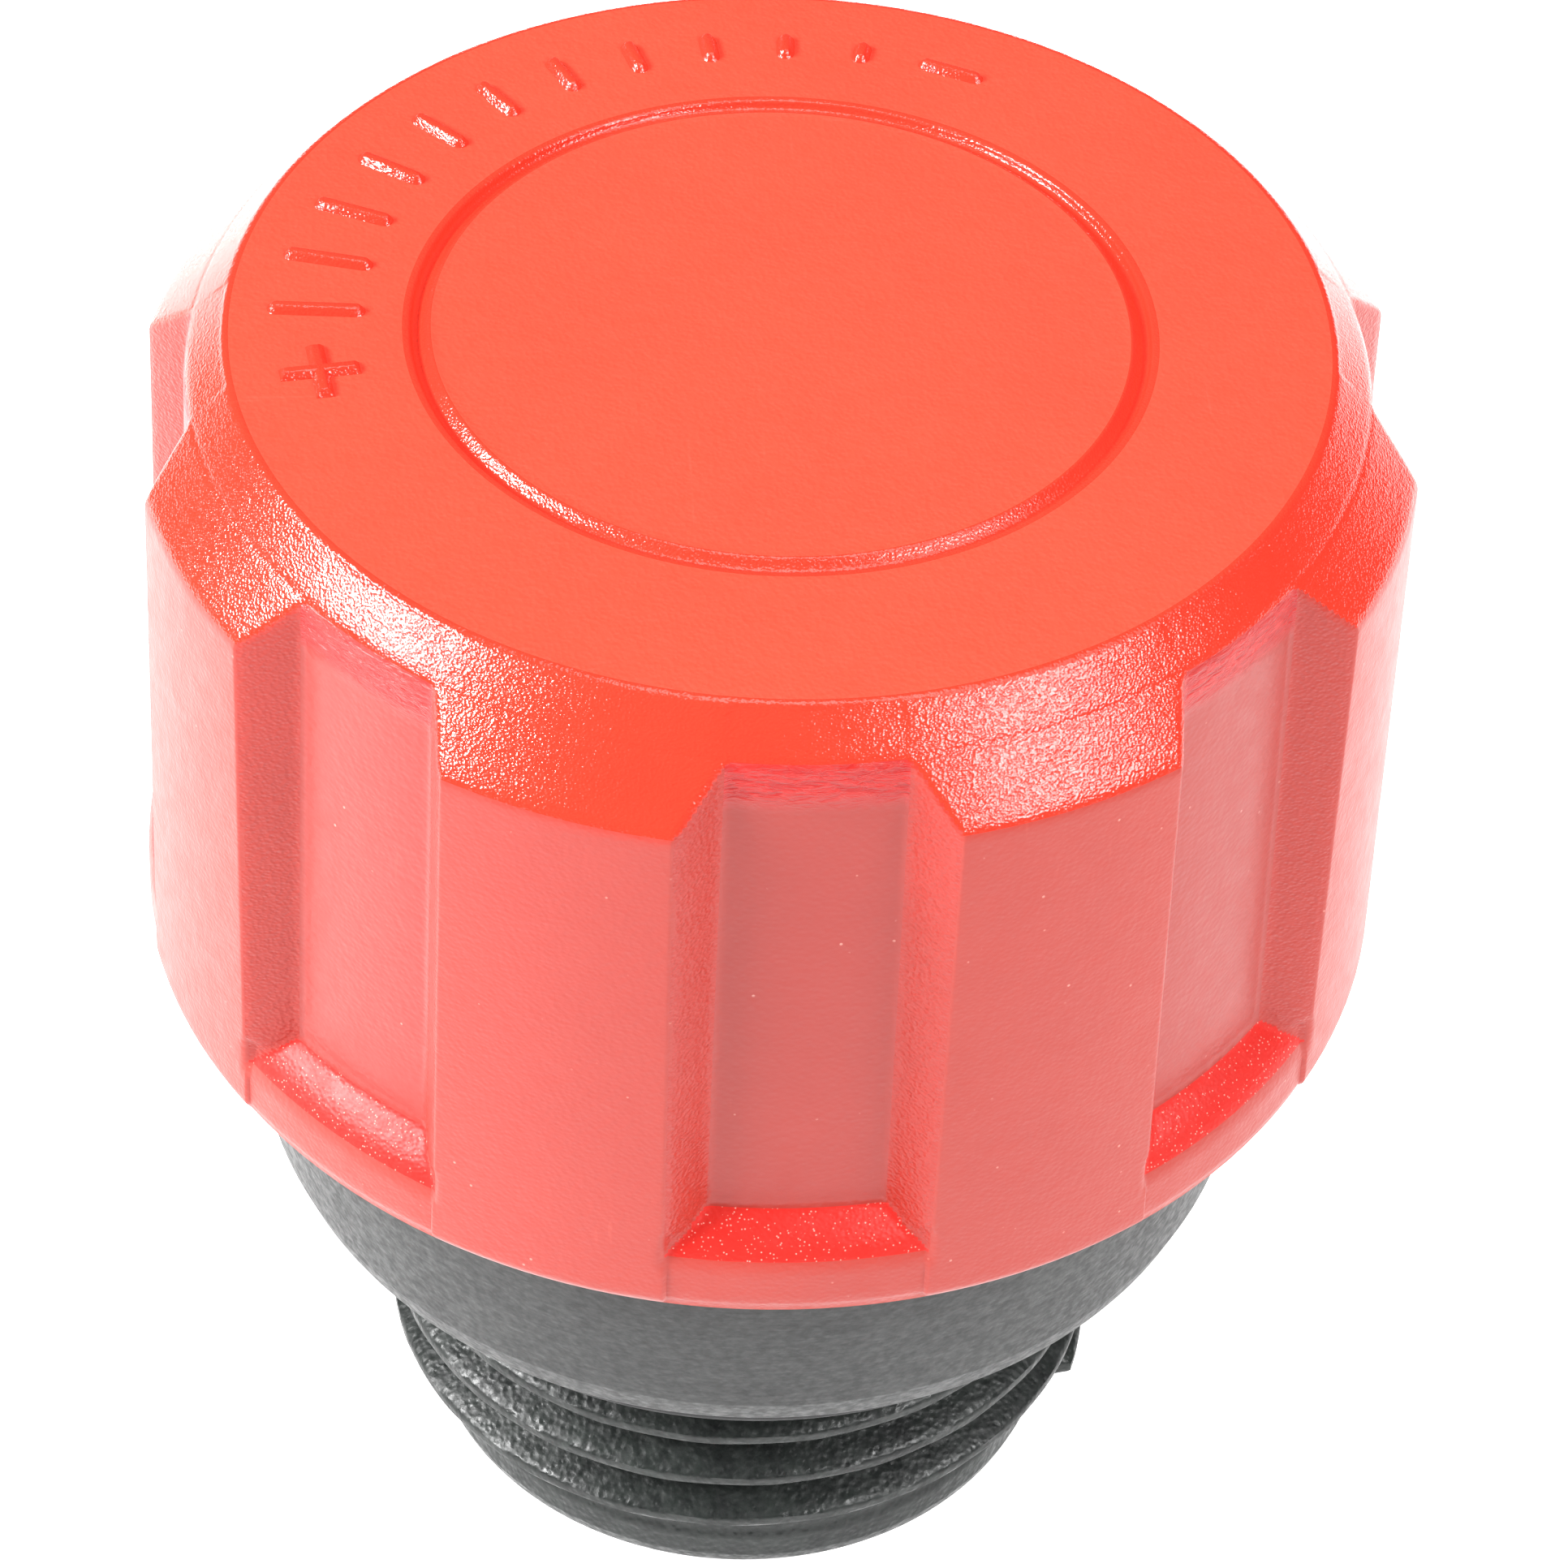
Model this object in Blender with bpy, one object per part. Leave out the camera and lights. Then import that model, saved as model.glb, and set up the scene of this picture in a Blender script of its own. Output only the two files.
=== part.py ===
"""Adjustable screw-cap drip emitter on a G 1/2 male spigot.

Run with:  blender --background --python part.py

Frame: metres, +Z up.  The origin is the centre of the spigot's flat end face,
+Z runs up the spigot through the neck to the cap's top, and -Y points at the
middle of one of the cap's eight flutes.

The emitter comes apart into three groups on one axis:
  body    the black moulding with everything pressed or clipped into it
  plunger the keyed metering plunger, which rises and falls but cannot turn
  cap     the fluted cap, which turns on the neck thread and carries the plunger
All lengths below are in millimetres and are scaled by MM when geometry is made.
"""
import math

import bmesh
import bpy
from mathutils import Vector

MM = 0.001

# ----------------------------------------------------------------- dimensions
# Spigot thread, G 1/2
G_MAJOR_R = 10.478
G_MINOR_R = 9.32
G_PITCH = 1.814
G_START_Z = 1.82              # ridge centre where the thread begins
G_START_DEG = -90.0 + 72.6    # direction in which it begins
G_TURNS = 4.55
G_STEPS = 24                  # steps per turn

# Threaded body
SPIGOT_END_R = 9.1
COLLAR_UNDER_Z = 11.74
COLLAR_LIP_R = 13.80
COLLAR_EDGE_R = 14.18
COLLAR_EDGE_Z = 12.76
COLLAR_TOP_R = 15.10
COLLAR_TOP_Z = 19.70
NECK_R = 12.40
NECK_TOP_Z = 35.00
BORE_R = 7.30                 # lower bore, below the shoulder
SHOULDER_Z = 16.60
FLOOR_Z = 17.50
SHOULDER_HOLE_R = 6.30
CHAMBER_R = 10.40             # upper bore, above the shoulder
LOCK_GROOVE = (0.60, 1.70, 7.90)          # low z, high z, radius
SEAL_GROOVE = (23.60, 25.80, 11.65)       # on the outside of the neck
CIRCLIP_GROOVE = (32.10, 33.10, 11.20)    # inside the neck
PORT_R = 0.90
PORT_Z = 21.20
KEYWAY_R = 11.30
KEYWAY_W = 3.00
KEYWAY_Z = 28.90
NOTCH_W = 2.60
NOTCH_Z = 18.70
BODY_STEPS = 36

# Cap thread between neck and cap
LEAD = 2.0                    # cap rise for one turn
NECK_CREST_R = 13.22
NECK_RIDGE_Z = 27.60
NECK_RIDGE_TURNS = 2.9
CAP_CREST_R = 12.72
CAP_RIDGE_TURNS = 1.9
CAP_TURN_DEG = 450.0          # full travel of the cap
LIFT = LEAD * CAP_TURN_DEG / 360.0

# Cap
CAP_TOP_Z = 39.40
RIM_R = 14.55
RIB_R = 17.00
RIB_TOP_Z = CAP_TOP_Z - 2.64
SKIRT_R = 17.27
SKIRT_Z = 20.00
SKIRT_BORE_R = 15.70
CAP_BORE_R = 13.55
CAP_ROOF_Z = 37.00
CHANNEL = (9.25, 9.71, 0.22)  # inner radius, outer radius, depth
FLUTES = 8
FLUTE_FLOOR_R = (15.60, 16.03)            # at the top, at the bottom
FLUTE_FLOOR_Z = (38.27, 22.90)
FLUTE_LEDGE_DROP = 1.05
FLUTE_FLOOR_DEG = 8.38
FLUTE_MOUTH_DEG = (12.08, 11.63)
HUB_R = 6.20
HUB_BORE_R = 3.75
HUB_Z = 33.70
HUB_GROOVE = (34.50, 35.50, 4.50)
CAP_STEPS = 40

# Raised flow scale on the cap: strokes that grow, between a minus and a plus
SCALE_R = 12.15
SCALE_H = 0.20
SCALE_FROM_DEG = -90.0 + 156.0
SCALE_TO_DEG = -90.0 + 276.0
SCALE_STROKES = 11

# Metering plunger
FLANGE_R = 10.20
FLANGE_Z = (23.60, 26.20)
HEX_AF = 7.60
HEX_TOP_Z = 33.00
STEM_R = 3.40
STEM_TOP_Z = 36.40
CLIP_GROOVE = (34.60, 35.40, 2.90)

# Return spring
SPRING_R = 5.30
SPRING_WIRE_R = 0.35
SPRING_Z = (17.45, 23.52)
SPRING_TURNS = 4.5


# -------------------------------------------------------------------- helpers
def clear_scene():
    for obj in list(bpy.data.objects):
        bpy.data.objects.remove(obj, do_unlink=True)


def material(name, colour, roughness, metallic=0.0):
    mat = bpy.data.materials.new(name)
    mat.use_nodes = True
    bsdf = mat.node_tree.nodes["Principled BSDF"]
    bsdf.inputs["Base Color"].default_value = (*colour, 1.0)
    bsdf.inputs["Roughness"].default_value = roughness
    bsdf.inputs["Metallic"].default_value = metallic
    mat.diffuse_color = (*colour, 1.0)
    return mat


def polar(radius, degrees, z=0.0):
    a = math.radians(degrees)
    return (radius * math.cos(a), radius * math.sin(a), z)


def turned(profile, steps):
    """Spin a closed (r, z) profile about Z.  A side on the axis is left open,
    because its two ends become the poles."""
    bm = bmesh.new()
    verts = [bm.verts.new((r * MM, 0.0, z * MM)) for r, z in profile]
    edges = []
    for i, (r, _) in enumerate(profile):
        j = (i + 1) % len(profile)
        if r == 0.0 and profile[j][0] == 0.0:
            continue
        edges.append(bm.edges.new((verts[i], verts[j])))
    bmesh.ops.spin(bm, geom=verts + edges, cent=(0, 0, 0), axis=(0, 0, 1),
                   dvec=(0, 0, 0), angle=2.0 * math.pi, steps=steps,
                   use_merge=False, use_duplicate=False)
    bmesh.ops.remove_doubles(bm, verts=bm.verts, dist=1e-6)
    bmesh.ops.recalc_face_normals(bm, faces=bm.faces)
    return bm


def loft(sections, ring=False, into=None):
    """Join equal-length loops of points in mm; cap both ends unless it is a ring."""
    bm = into or bmesh.new()
    rows = [[bm.verts.new((x * MM, y * MM, z * MM)) for x, y, z in s] for s in sections]
    faces = []
    n = len(rows[0])
    count = len(rows) if ring else len(rows) - 1
    for i in range(count):
        a, b = rows[i], rows[(i + 1) % len(rows)]
        for k in range(n):
            m = (k + 1) % n
            faces.append(bm.faces.new((a[k], a[m], b[m], b[k])))
    if not ring:
        faces.append(bm.faces.new(list(reversed(rows[0]))))
        faces.append(bm.faces.new(rows[-1]))
    bmesh.ops.recalc_face_normals(bm, faces=faces)
    return bm


def ridge(r_base, r_crest, half_base, half_crest, z0, start_deg, pitch, turns,
          steps, fade=0.10, blunt_start=False):
    """A right-handed helical ridge with a trapezium section.  Its crest sinks
    into its base over the share of a turn given by fade, at each end."""
    total = int(round(turns * steps))
    sections = []
    for i in range(total + 1):
        t = i / steps
        k = min(1.0, (turns - t) / fade)
        if not blunt_start:
            k = min(k, t / fade)
        k = max(0.0, k)
        crest = r_base + (r_crest - r_base) * (0.12 + 0.88 * k)
        z = z0 + pitch * t
        deg = start_deg + 360.0 * t
        sections.append([polar(r_base, deg, z - half_base), polar(crest, deg, z - half_crest),
                         polar(crest, deg, z + half_crest), polar(r_base, deg, z + half_base)])
    return loft(sections)


def round_ring(centre_r, section_r, z, steps, sides=6):
    profile = [(centre_r + section_r * math.cos(2 * math.pi * (k + 0.5) / sides),
                z + section_r * math.sin(2 * math.pi * (k + 0.5) / sides)) for k in range(sides)]
    return turned(profile, steps)


def split_ring(r_in, r_out, z0, z1, gap_deg, middle_deg, steps):
    """A retaining ring with a gap whose middle is at middle_deg."""
    sections = []
    sweep = 360.0 - gap_deg
    for i in range(steps + 1):
        deg = middle_deg + gap_deg / 2 + sweep * i / steps
        sections.append([polar(r_in, deg, z0), polar(r_out, deg, z0),
                         polar(r_out, deg, z1), polar(r_in, deg, z1)])
    return loft(sections)


def box(x0, x1, y0, y1, z0, z1, deg=0.0, into=None):
    """A block that is turned about Z by deg."""
    a = math.radians(deg)
    c, s = math.cos(a), math.sin(a)

    def loop(z):
        return [(x * c - y * s, x * s + y * c, z) for x, y in ((x0, y0), (x1, y0), (x1, y1), (x0, y1))]
    return loft([loop(z0), loop(z1)], into=into)


def prism(sides, radius, z0, z1, deg=0.0, centre=(0.0, 0.0), into=None):
    def loop(z):
        return [(centre[0] + radius * math.cos(math.radians(deg) + 2 * math.pi * k / sides),
                 centre[1] + radius * math.sin(math.radians(deg) + 2 * math.pi * k / sides), z)
                for k in range(sides)]
    return loft([loop(z0), loop(z1)], into=into)


def place(name, bm, mat, parent, base_z, round_piece=True):
    """Turn a bmesh into an object whose origin is on the axis at base_z."""
    bmesh.ops.translate(bm, verts=bm.verts, vec=(0.0, 0.0, -base_z * MM))
    mesh = bpy.data.meshes.new(name)
    bm.to_mesh(mesh)
    bm.free()
    obj = bpy.data.objects.new(name, mesh)
    bpy.context.scene.collection.objects.link(obj)
    obj.parent = parent
    obj.location = (0.0, 0.0, base_z * MM)
    if mat is not None:
        mesh.materials.append(mat)
        if round_piece:
            mesh.shade_smooth()
            mesh.set_sharp_from_angle(angle=math.radians(35.0))
    return obj


def tool(name, bm, parent):
    """A shape that only adds to or cuts another piece."""
    obj = place(name, bm, None, parent, 0.0)
    obj.hide_render = True
    obj.display_type = "WIRE"
    return obj


def combine(obj, other, operation):
    mod = obj.modifiers.new(other.name, "BOOLEAN")
    mod.operation = operation
    mod.solver = "EXACT"
    mod.object = other
    return mod


def empty(name, parent=None):
    obj = bpy.data.objects.new(name, None)
    obj.empty_display_size = 0.01
    bpy.context.scene.collection.objects.link(obj)
    obj.parent = parent
    return obj


# ----------------------------------------------------------------------- body
def make_body(root, mats):
    profile = [
        (BORE_R, 0.0), (SPIGOT_END_R, 0.0), (G_MINOR_R, 0.30), (G_MINOR_R, COLLAR_UNDER_Z),
        (COLLAR_LIP_R, COLLAR_UNDER_Z), (COLLAR_EDGE_R, COLLAR_EDGE_Z), (14.72, 16.2),
        (COLLAR_TOP_R, 19.2), (COLLAR_TOP_R - 0.5, COLLAR_TOP_Z), (NECK_R, COLLAR_TOP_Z),
        (NECK_R, SEAL_GROOVE[0]), (SEAL_GROOVE[2], SEAL_GROOVE[0]),
        (SEAL_GROOVE[2], SEAL_GROOVE[1]), (NECK_R, SEAL_GROOVE[1]),
        (NECK_R, NECK_TOP_Z - 0.6), (NECK_R - 0.6, NECK_TOP_Z), (CHAMBER_R + 0.3, NECK_TOP_Z),
        (CHAMBER_R, NECK_TOP_Z - 0.3),
        (CHAMBER_R, CIRCLIP_GROOVE[1]), (CIRCLIP_GROOVE[2], CIRCLIP_GROOVE[1]),
        (CIRCLIP_GROOVE[2], CIRCLIP_GROOVE[0]), (CHAMBER_R, CIRCLIP_GROOVE[0]),
        (CHAMBER_R, FLOOR_Z), (SHOULDER_HOLE_R, FLOOR_Z), (SHOULDER_HOLE_R, SHOULDER_Z),
        (BORE_R, SHOULDER_Z), (BORE_R, LOCK_GROOVE[1]), (LOCK_GROOVE[2], LOCK_GROOVE[1]),
        (LOCK_GROOVE[2], LOCK_GROOVE[0]), (BORE_R, LOCK_GROOVE[0]),
    ]
    body = place("threaded_body", turned(profile, BODY_STEPS), mats["black_pp"], root, 0.0)

    inlet = ridge(G_MINOR_R - 0.34, G_MAJOR_R, 0.86, 0.15, G_START_Z, G_START_DEG, G_PITCH,
                  G_TURNS, G_STEPS, fade=0.30, blunt_start=True)
    combine(body, tool("spigot_thread_ridge", inlet, root), "UNION")
    neck = ridge(NECK_R - 0.30, NECK_CREST_R, 0.62, 0.25, NECK_RIDGE_Z, 0.0, LEAD,
                 NECK_RIDGE_TURNS, 24)
    combine(body, tool("neck_thread_ridge", neck, root), "UNION")

    # Outlet ports through the neck, just above the collar
    ports = bmesh.new()
    for k in range(4):
        deg = 45.0 + 90.0 * k
        u = Vector(polar(1.0, deg))
        v = Vector(polar(1.0, deg + 90.0))
        loops = []
        for d in (CHAMBER_R - 1.2, NECK_R + 1.0):
            loops.append([tuple(u * d + v * (PORT_R * math.cos(2 * math.pi * i / 12))
                                + Vector((0, 0, PORT_Z + PORT_R * math.sin(2 * math.pi * i / 12))))
                          for i in range(12)])
        loft(loops, into=ports)
    combine(body, tool("outlet_port_cutter", ports, root), "DIFFERENCE")

    # Drip notches across the collar's rim, and keyways for the guide bush
    notches = bmesh.new()
    for k in range(4):
        box(13.55, 16.5, -NOTCH_W / 2, NOTCH_W / 2, NOTCH_Z, COLLAR_TOP_Z + 1.0,
            deg=90.0 * k, into=notches)
    combine(body, tool("drip_notch_cutter", notches, root), "DIFFERENCE")
    keys = bmesh.new()
    for k in range(2):
        box(CHAMBER_R - 1.5, KEYWAY_R, -KEYWAY_W / 2, KEYWAY_W / 2, KEYWAY_Z, NECK_TOP_Z + 1.0,
            deg=180.0 * k, into=keys)
    combine(body, tool("keyway_cutter", keys, root), "DIFFERENCE")


def make_thread_gasket(root, mats):
    profile = [(10.62, 10.15), (12.45, 10.15), (12.65, 10.35), (12.65, 11.40), (12.45, 11.60), (10.62, 11.60)]
    place("thread_gasket", turned(profile, 36), mats["epdm"], root, 10.15)


def make_strainer(root, mats):
    ring = split_ring(6.25, 7.80, 0.72, 1.58, 22.0, 90.0, 32)
    place("strainer_lock_ring", ring, mats["steel"], root, 0.72)

    # Basket: a cup with six windows and a flange that the lock ring holds
    cup = turned([(3.70, 1.80), (7.10, 1.80), (7.10, 2.80), (4.60, 2.80), (4.60, 9.60),
                  (0.0, 9.60), (0.0, 8.60), (3.70, 8.60)], 36)
    basket = place("strainer_basket", cup, mats["natural_pom"], root, 1.80)
    windows = bmesh.new()
    for k in range(6):
        box(2.75, 5.4, -1.15, 1.15, 3.50, 7.90, deg=60.0 * k, into=windows)
    combine(basket, tool("basket_window_cutter", windows, root), "DIFFERENCE")

    sleeve = turned([(4.72, 3.00), (4.96, 3.00), (4.96, 8.60), (4.72, 8.60)], 36)
    place("strainer_mesh", sleeve, mats["steel"], root, 3.00)


def make_regulator(root, mats):
    # Cage: a dished disc with six holes, under the diaphragm
    cage = turned([(0.0, 9.75), (6.95, 9.75), (6.95, 12.10), (6.45, 12.10), (6.45, 10.60),
                   (1.30, 10.60), (0.95, 10.85), (0.0, 10.85)], 30)
    cage = place("diaphragm_cage", cage, mats["natural_pom"], root, 9.75)
    holes = bmesh.new()
    for k in range(6):
        x, y, _ = polar(3.95, 30.0 + 60.0 * k)
        prism(10, 1.15, 9.2, 11.4, deg=12.0, centre=(x, y), into=holes)
    combine(cage, tool("cage_hole_cutter", holes, root), "DIFFERENCE")

    # Diaphragm: thin in the middle, with a thicker bead round its edge
    disc = turned([(0.55, 11.20), (4.40, 11.20), (4.80, 10.95), (6.25, 10.95), (6.25, 12.05),
                   (5.20, 12.05), (4.80, 11.70), (0.55, 11.70)], 28)
    place("compensating_diaphragm", disc, mats["silicone"], root, 10.95)

    # Labyrinth disc: a toothed channel on its top face, fed from the rim and
    # emptied through the middle
    plate = turned([(0.0, 12.25), (6.95, 12.25), (6.95, 14.15), (0.0, 14.15)], 36)
    plate = place("labyrinth_disc", plate, mats["natural_pom"], root, 12.25)
    path = [polar(7.6, 15.0)[:2]]
    teeth = 18
    for k in range(teeth + 1):
        deg = 15.0 + 320.0 * k / teeth
        path.append(polar(5.85 if k % 2 == 0 else 4.05, deg)[:2])
    path.append(polar(0.9, 335.0)[:2])
    channel = ribbon(path, 0.62, 13.35, 14.8)
    combine(plate, tool("labyrinth_cutter", channel, root), "DIFFERENCE")
    eye = prism(12, 1.0, 13.0, 14.8, into=bmesh.new())
    combine(plate, tool("labyrinth_eye_cutter", eye, root), "DIFFERENCE")

    # Nozzle seat: conical mouth over a small orifice, pushed up to the shoulder
    seat = turned([(1.00, 14.30), (7.15, 14.30), (7.15, 15.00), (6.30, 15.00), (6.30, 16.00),
                   (7.15, 16.00), (7.15, 16.50), (6.15, 16.50), (6.15, 17.35), (3.60, 17.35),
                   (3.60, 18.00), (3.40, 18.20), (2.20, 18.20), (1.00, 17.00)], 24)
    place("nozzle_seat", seat, mats["brass"], root, 14.30)
    place("nozzle_o_ring", round_ring(6.82, 0.44, 15.50, 24), mats["epdm"], root, 15.06)


def ribbon(path, width, z0, z1):
    """A closed channel of constant width that follows a zigzag path."""
    pts = [Vector(p) for p in path]
    left, right = [], []
    for i, p in enumerate(pts):
        dirs = []
        if i > 0:
            dirs.append((p - pts[i - 1]).normalized())
        if i < len(pts) - 1:
            dirs.append((pts[i + 1] - p).normalized())
        normals = [Vector((-d.y, d.x)) for d in dirs]
        mitre = sum(normals, Vector((0.0, 0.0))).normalized()
        reach = width / 2 / max(0.45, mitre.dot(normals[0]))
        left.append(p + mitre * reach)
        right.append(p - mitre * reach)
    sections = []
    for a, b in zip(left, right):
        sections.append([(a.x, a.y, z0), (b.x, b.y, z0), (b.x, b.y, z1), (a.x, a.y, z1)])
    return loft(sections)


def make_neck_pieces(root, mats):
    flap = turned([(12.46, 19.85), (13.00, 19.85), (13.10, 20.05), (13.00, 22.55), (12.46, 22.65)], 36)
    place("outlet_flap_sleeve", flap, mats["silicone"], root, 19.85)
    place("cap_o_ring", round_ring(12.62, 0.84, 24.70, 36), mats["epdm"], root, 23.86)

    # Guide bush: keyed to the neck, with a hexagonal hole that keeps the
    # plunger from turning
    disc = turned([(0.0, 29.00), (10.0, 29.00), (10.28, 29.30), (10.28, 31.90), (0.0, 31.90)], 36)
    bush = place("guide_bush", disc, mats["natural_pom"], root, 29.0)
    ears = bmesh.new()
    for k in range(2):
        box(9.0, 11.10, -1.35, 1.35, 29.20, 31.70, deg=180.0 * k, into=ears)
    combine(bush, tool("bush_ears", ears, root), "UNION")
    hexagon = prism(6, (HEX_AF + 0.30) / math.sqrt(3.0), 28.0, 33.0, into=bmesh.new())
    combine(bush, tool("bush_hexagon_cutter", hexagon, root), "DIFFERENCE")
    clip = split_ring(9.00, 11.08, 32.22, 32.98, 40.0, 90.0, 32)
    place("guide_circlip", clip, mats["steel"], root, 32.22)

    # Return spring: takes up the play in the cap thread
    z0 = SPRING_Z[0] + SPRING_WIRE_R
    z1 = SPRING_Z[1] - SPRING_WIRE_R
    steps = int(SPRING_TURNS * 16)
    sections = []
    for i in range(steps + 1):
        t = i / steps
        # the end coils lie flat, the middle ones are open
        s = 0.5 - 0.5 * math.cos(math.pi * t)
        z = z0 + (z1 - z0) * (0.35 * s + 0.65 * t)
        deg = 360.0 * SPRING_TURNS * t
        sections.append([polar(SPRING_R + SPRING_WIRE_R * math.cos(2 * math.pi * k / 6), deg,
                               z + SPRING_WIRE_R * math.sin(2 * math.pi * k / 6)) for k in range(6)])
    place("return_spring", loft(sections), mats["steel"], root, SPRING_Z[0])


# -------------------------------------------------------------------- plunger
def make_plunger(lift, mats):
    profile = [
        (1.30, 20.55), (2.60, 20.55), (2.60, FLANGE_Z[0]), (FLANGE_R - 0.2, FLANGE_Z[0]),
        (FLANGE_R, FLANGE_Z[0] + 0.2), (FLANGE_R, 24.15), (8.92, 24.15), (8.92, 25.65),
        (FLANGE_R, 25.65), (FLANGE_R, FLANGE_Z[1]), (3.0, FLANGE_Z[1]), (3.0, HEX_TOP_Z - 0.5),
        (STEM_R, HEX_TOP_Z - 0.5), (STEM_R, CLIP_GROOVE[0]), (CLIP_GROOVE[2], CLIP_GROOVE[0]),
        (CLIP_GROOVE[2], CLIP_GROOVE[1]), (STEM_R, CLIP_GROOVE[1]), (STEM_R, STEM_TOP_Z - 0.5),
        (STEM_R - 0.5, STEM_TOP_Z), (0.0, STEM_TOP_Z), (0.0, 23.20), (1.30, 23.20),
    ]
    plunger = place("metering_plunger", turned(profile, 32), mats["grey_pom"], lift, 20.55)
    hexagon = prism(6, HEX_AF / math.sqrt(3.0), FLANGE_Z[1] - 0.2, HEX_TOP_Z, into=bmesh.new())
    combine(plunger, tool("plunger_hexagon", hexagon, lift), "UNION")

    needle = turned([(0.0, 15.80), (0.40, 15.80), (0.84, 16.95), (2.05, 18.15), (2.05, 20.40),
                     (1.20, 20.40), (1.20, 23.00), (0.0, 23.00)], 24)
    place("metering_needle", needle, mats["steel"], lift, 15.80)
    place("plunger_o_ring", round_ring(9.66, 0.66, 24.90, 36), mats["epdm"], lift, 24.24)
    washer = turned([(3.60, 33.12), (6.00, 33.12), (6.00, 33.58), (3.60, 33.58)], 36)
    place("thrust_washer", washer, mats["bronze_ptfe"], lift, 33.12)
    clip = split_ring(3.00, 4.34, 34.66, 35.34, 50.0, -90.0, 24)
    place("swivel_clip", clip, mats["steel"], lift, 34.66)


# ------------------------------------------------------------------------ cap
def make_cap(turn, mats):
    inner, outer, depth = CHANNEL
    profile = [
        (0.0, CAP_TOP_Z), (inner, CAP_TOP_Z), (inner + 0.12, CAP_TOP_Z - depth),
        (outer - 0.12, CAP_TOP_Z - depth), (outer, CAP_TOP_Z), (RIM_R - 0.18, CAP_TOP_Z),
        (RIM_R + 0.14, CAP_TOP_Z - 0.15), (RIB_R, RIB_TOP_Z), (SKIRT_R, SKIRT_Z),
        (SKIRT_BORE_R, SKIRT_Z), (SKIRT_BORE_R - 0.20, 21.55), (CAP_BORE_R + 0.10, 22.30),
        (CAP_BORE_R, 22.60), (CAP_BORE_R, CAP_ROOF_Z), (HUB_R, CAP_ROOF_Z), (HUB_R, HUB_Z),
        (HUB_BORE_R, HUB_Z), (HUB_BORE_R, HUB_GROOVE[0]), (HUB_GROOVE[2], HUB_GROOVE[0]),
        (HUB_GROOVE[2], HUB_GROOVE[1]), (HUB_BORE_R, HUB_GROOVE[1]), (HUB_BORE_R, 36.80),
        (0.0, 36.80),
    ]
    cap = place("screw_cap", turned(profile, CAP_STEPS), mats["red_pp"], turn, SKIRT_Z)
    # The cap's ridge lies half a lead above the neck's, on the same helix
    female = ridge(CAP_BORE_R + 0.30, CAP_CREST_R, 0.62, 0.25, NECK_RIDGE_Z + LEAD / 2 + 0.4 * LEAD,
                   0.4 * 360.0, LEAD, CAP_RIDGE_TURNS, 24)
    combine(cap, tool("cap_thread_ridge", female, turn), "UNION")

    flutes = bmesh.new()
    for k in range(FLUTES):
        middle = -90.0 + 360.0 / FLUTES * k
        loft([flute_loop(middle, False), flute_loop(middle, True)], into=flutes)
    combine(cap, tool("flute_cutter", flutes, turn), "DIFFERENCE")

    combine(cap, tool("flow_scale", flow_scale(), turn), "UNION")


def flute_loop(middle, top):
    """One end of a flute's cutter.  The floor is a shallow arc, the sides open
    outwards, and the lower end slopes down and out to make the ledge."""
    end = 0 if top else 1
    slope = (FLUTE_FLOOR_R[1] - FLUTE_FLOOR_R[0]) / (FLUTE_FLOOR_Z[0] - FLUTE_FLOOR_Z[1])
    z_floor = CAP_TOP_Z + 1.0 if top else FLUTE_FLOOR_Z[1]
    r_floor = FLUTE_FLOOR_R[0] + (FLUTE_FLOOR_Z[0] - z_floor) * slope
    mouth_r = RIB_R if top else SKIRT_R
    half = math.radians(FLUTE_FLOOR_DEG)
    mouth = math.radians(FLUTE_MOUTH_DEG[end])
    inner = Vector((r_floor * math.cos(half), r_floor * math.sin(half)))
    side = Vector((mouth_r * math.cos(mouth), mouth_r * math.sin(mouth))) - inner
    far = inner + side * ((18.6 - inner.x) / side.x)
    drop = 0.0 if top else (far.x - r_floor) * FLUTE_LEDGE_DROP / 1.24
    local = [(far.x, far.y, z_floor - drop)]
    arcs = 4
    for i in range(arcs + 1):
        a = half - 2.0 * half * i / arcs
        local.append((r_floor * math.cos(a), r_floor * math.sin(a), z_floor))
    local.append((far.x, -far.y, z_floor - drop))
    c, s = math.cos(math.radians(middle)), math.sin(math.radians(middle))
    return [(x * c - y * s, x * s + y * c, z) for x, y, z in local]


def flow_scale():
    """Raised strokes that grow in length, with a minus at one end and a plus
    at the other."""
    bm = bmesh.new()
    z0, z1 = CAP_TOP_Z - 0.15, CAP_TOP_Z + SCALE_H
    span = SCALE_TO_DEG - SCALE_FROM_DEG
    for k in range(SCALE_STROKES):
        deg = SCALE_FROM_DEG + span * (k + 1) / (SCALE_STROKES + 1)
        half = 0.45 + 0.085 * k
        box(SCALE_R - half, SCALE_R + half, -0.24, 0.24, z0, z1, deg=deg, into=bm)
    box(SCALE_R - 0.24, SCALE_R + 0.24, -0.95, 0.95, z0, z1, deg=SCALE_FROM_DEG - 2.0, into=bm)
    cross = [(-0.24, -1.05), (0.24, -1.05), (0.24, -0.24), (1.05, -0.24), (1.05, 0.24), (0.24, 0.24),
             (0.24, 1.05), (-0.24, 1.05), (-0.24, 0.24), (-1.05, 0.24), (-1.05, -0.24), (-0.24, -0.24)]
    a = math.radians(SCALE_TO_DEG + 2.0)
    c, s = math.cos(a), math.sin(a)
    loops = []
    for z in (z0, z1):
        loops.append([((SCALE_R + x) * c - y * s, (SCALE_R + x) * s + y * c, z) for x, y in cross])
    loft(loops, into=bm)
    return bm


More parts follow.
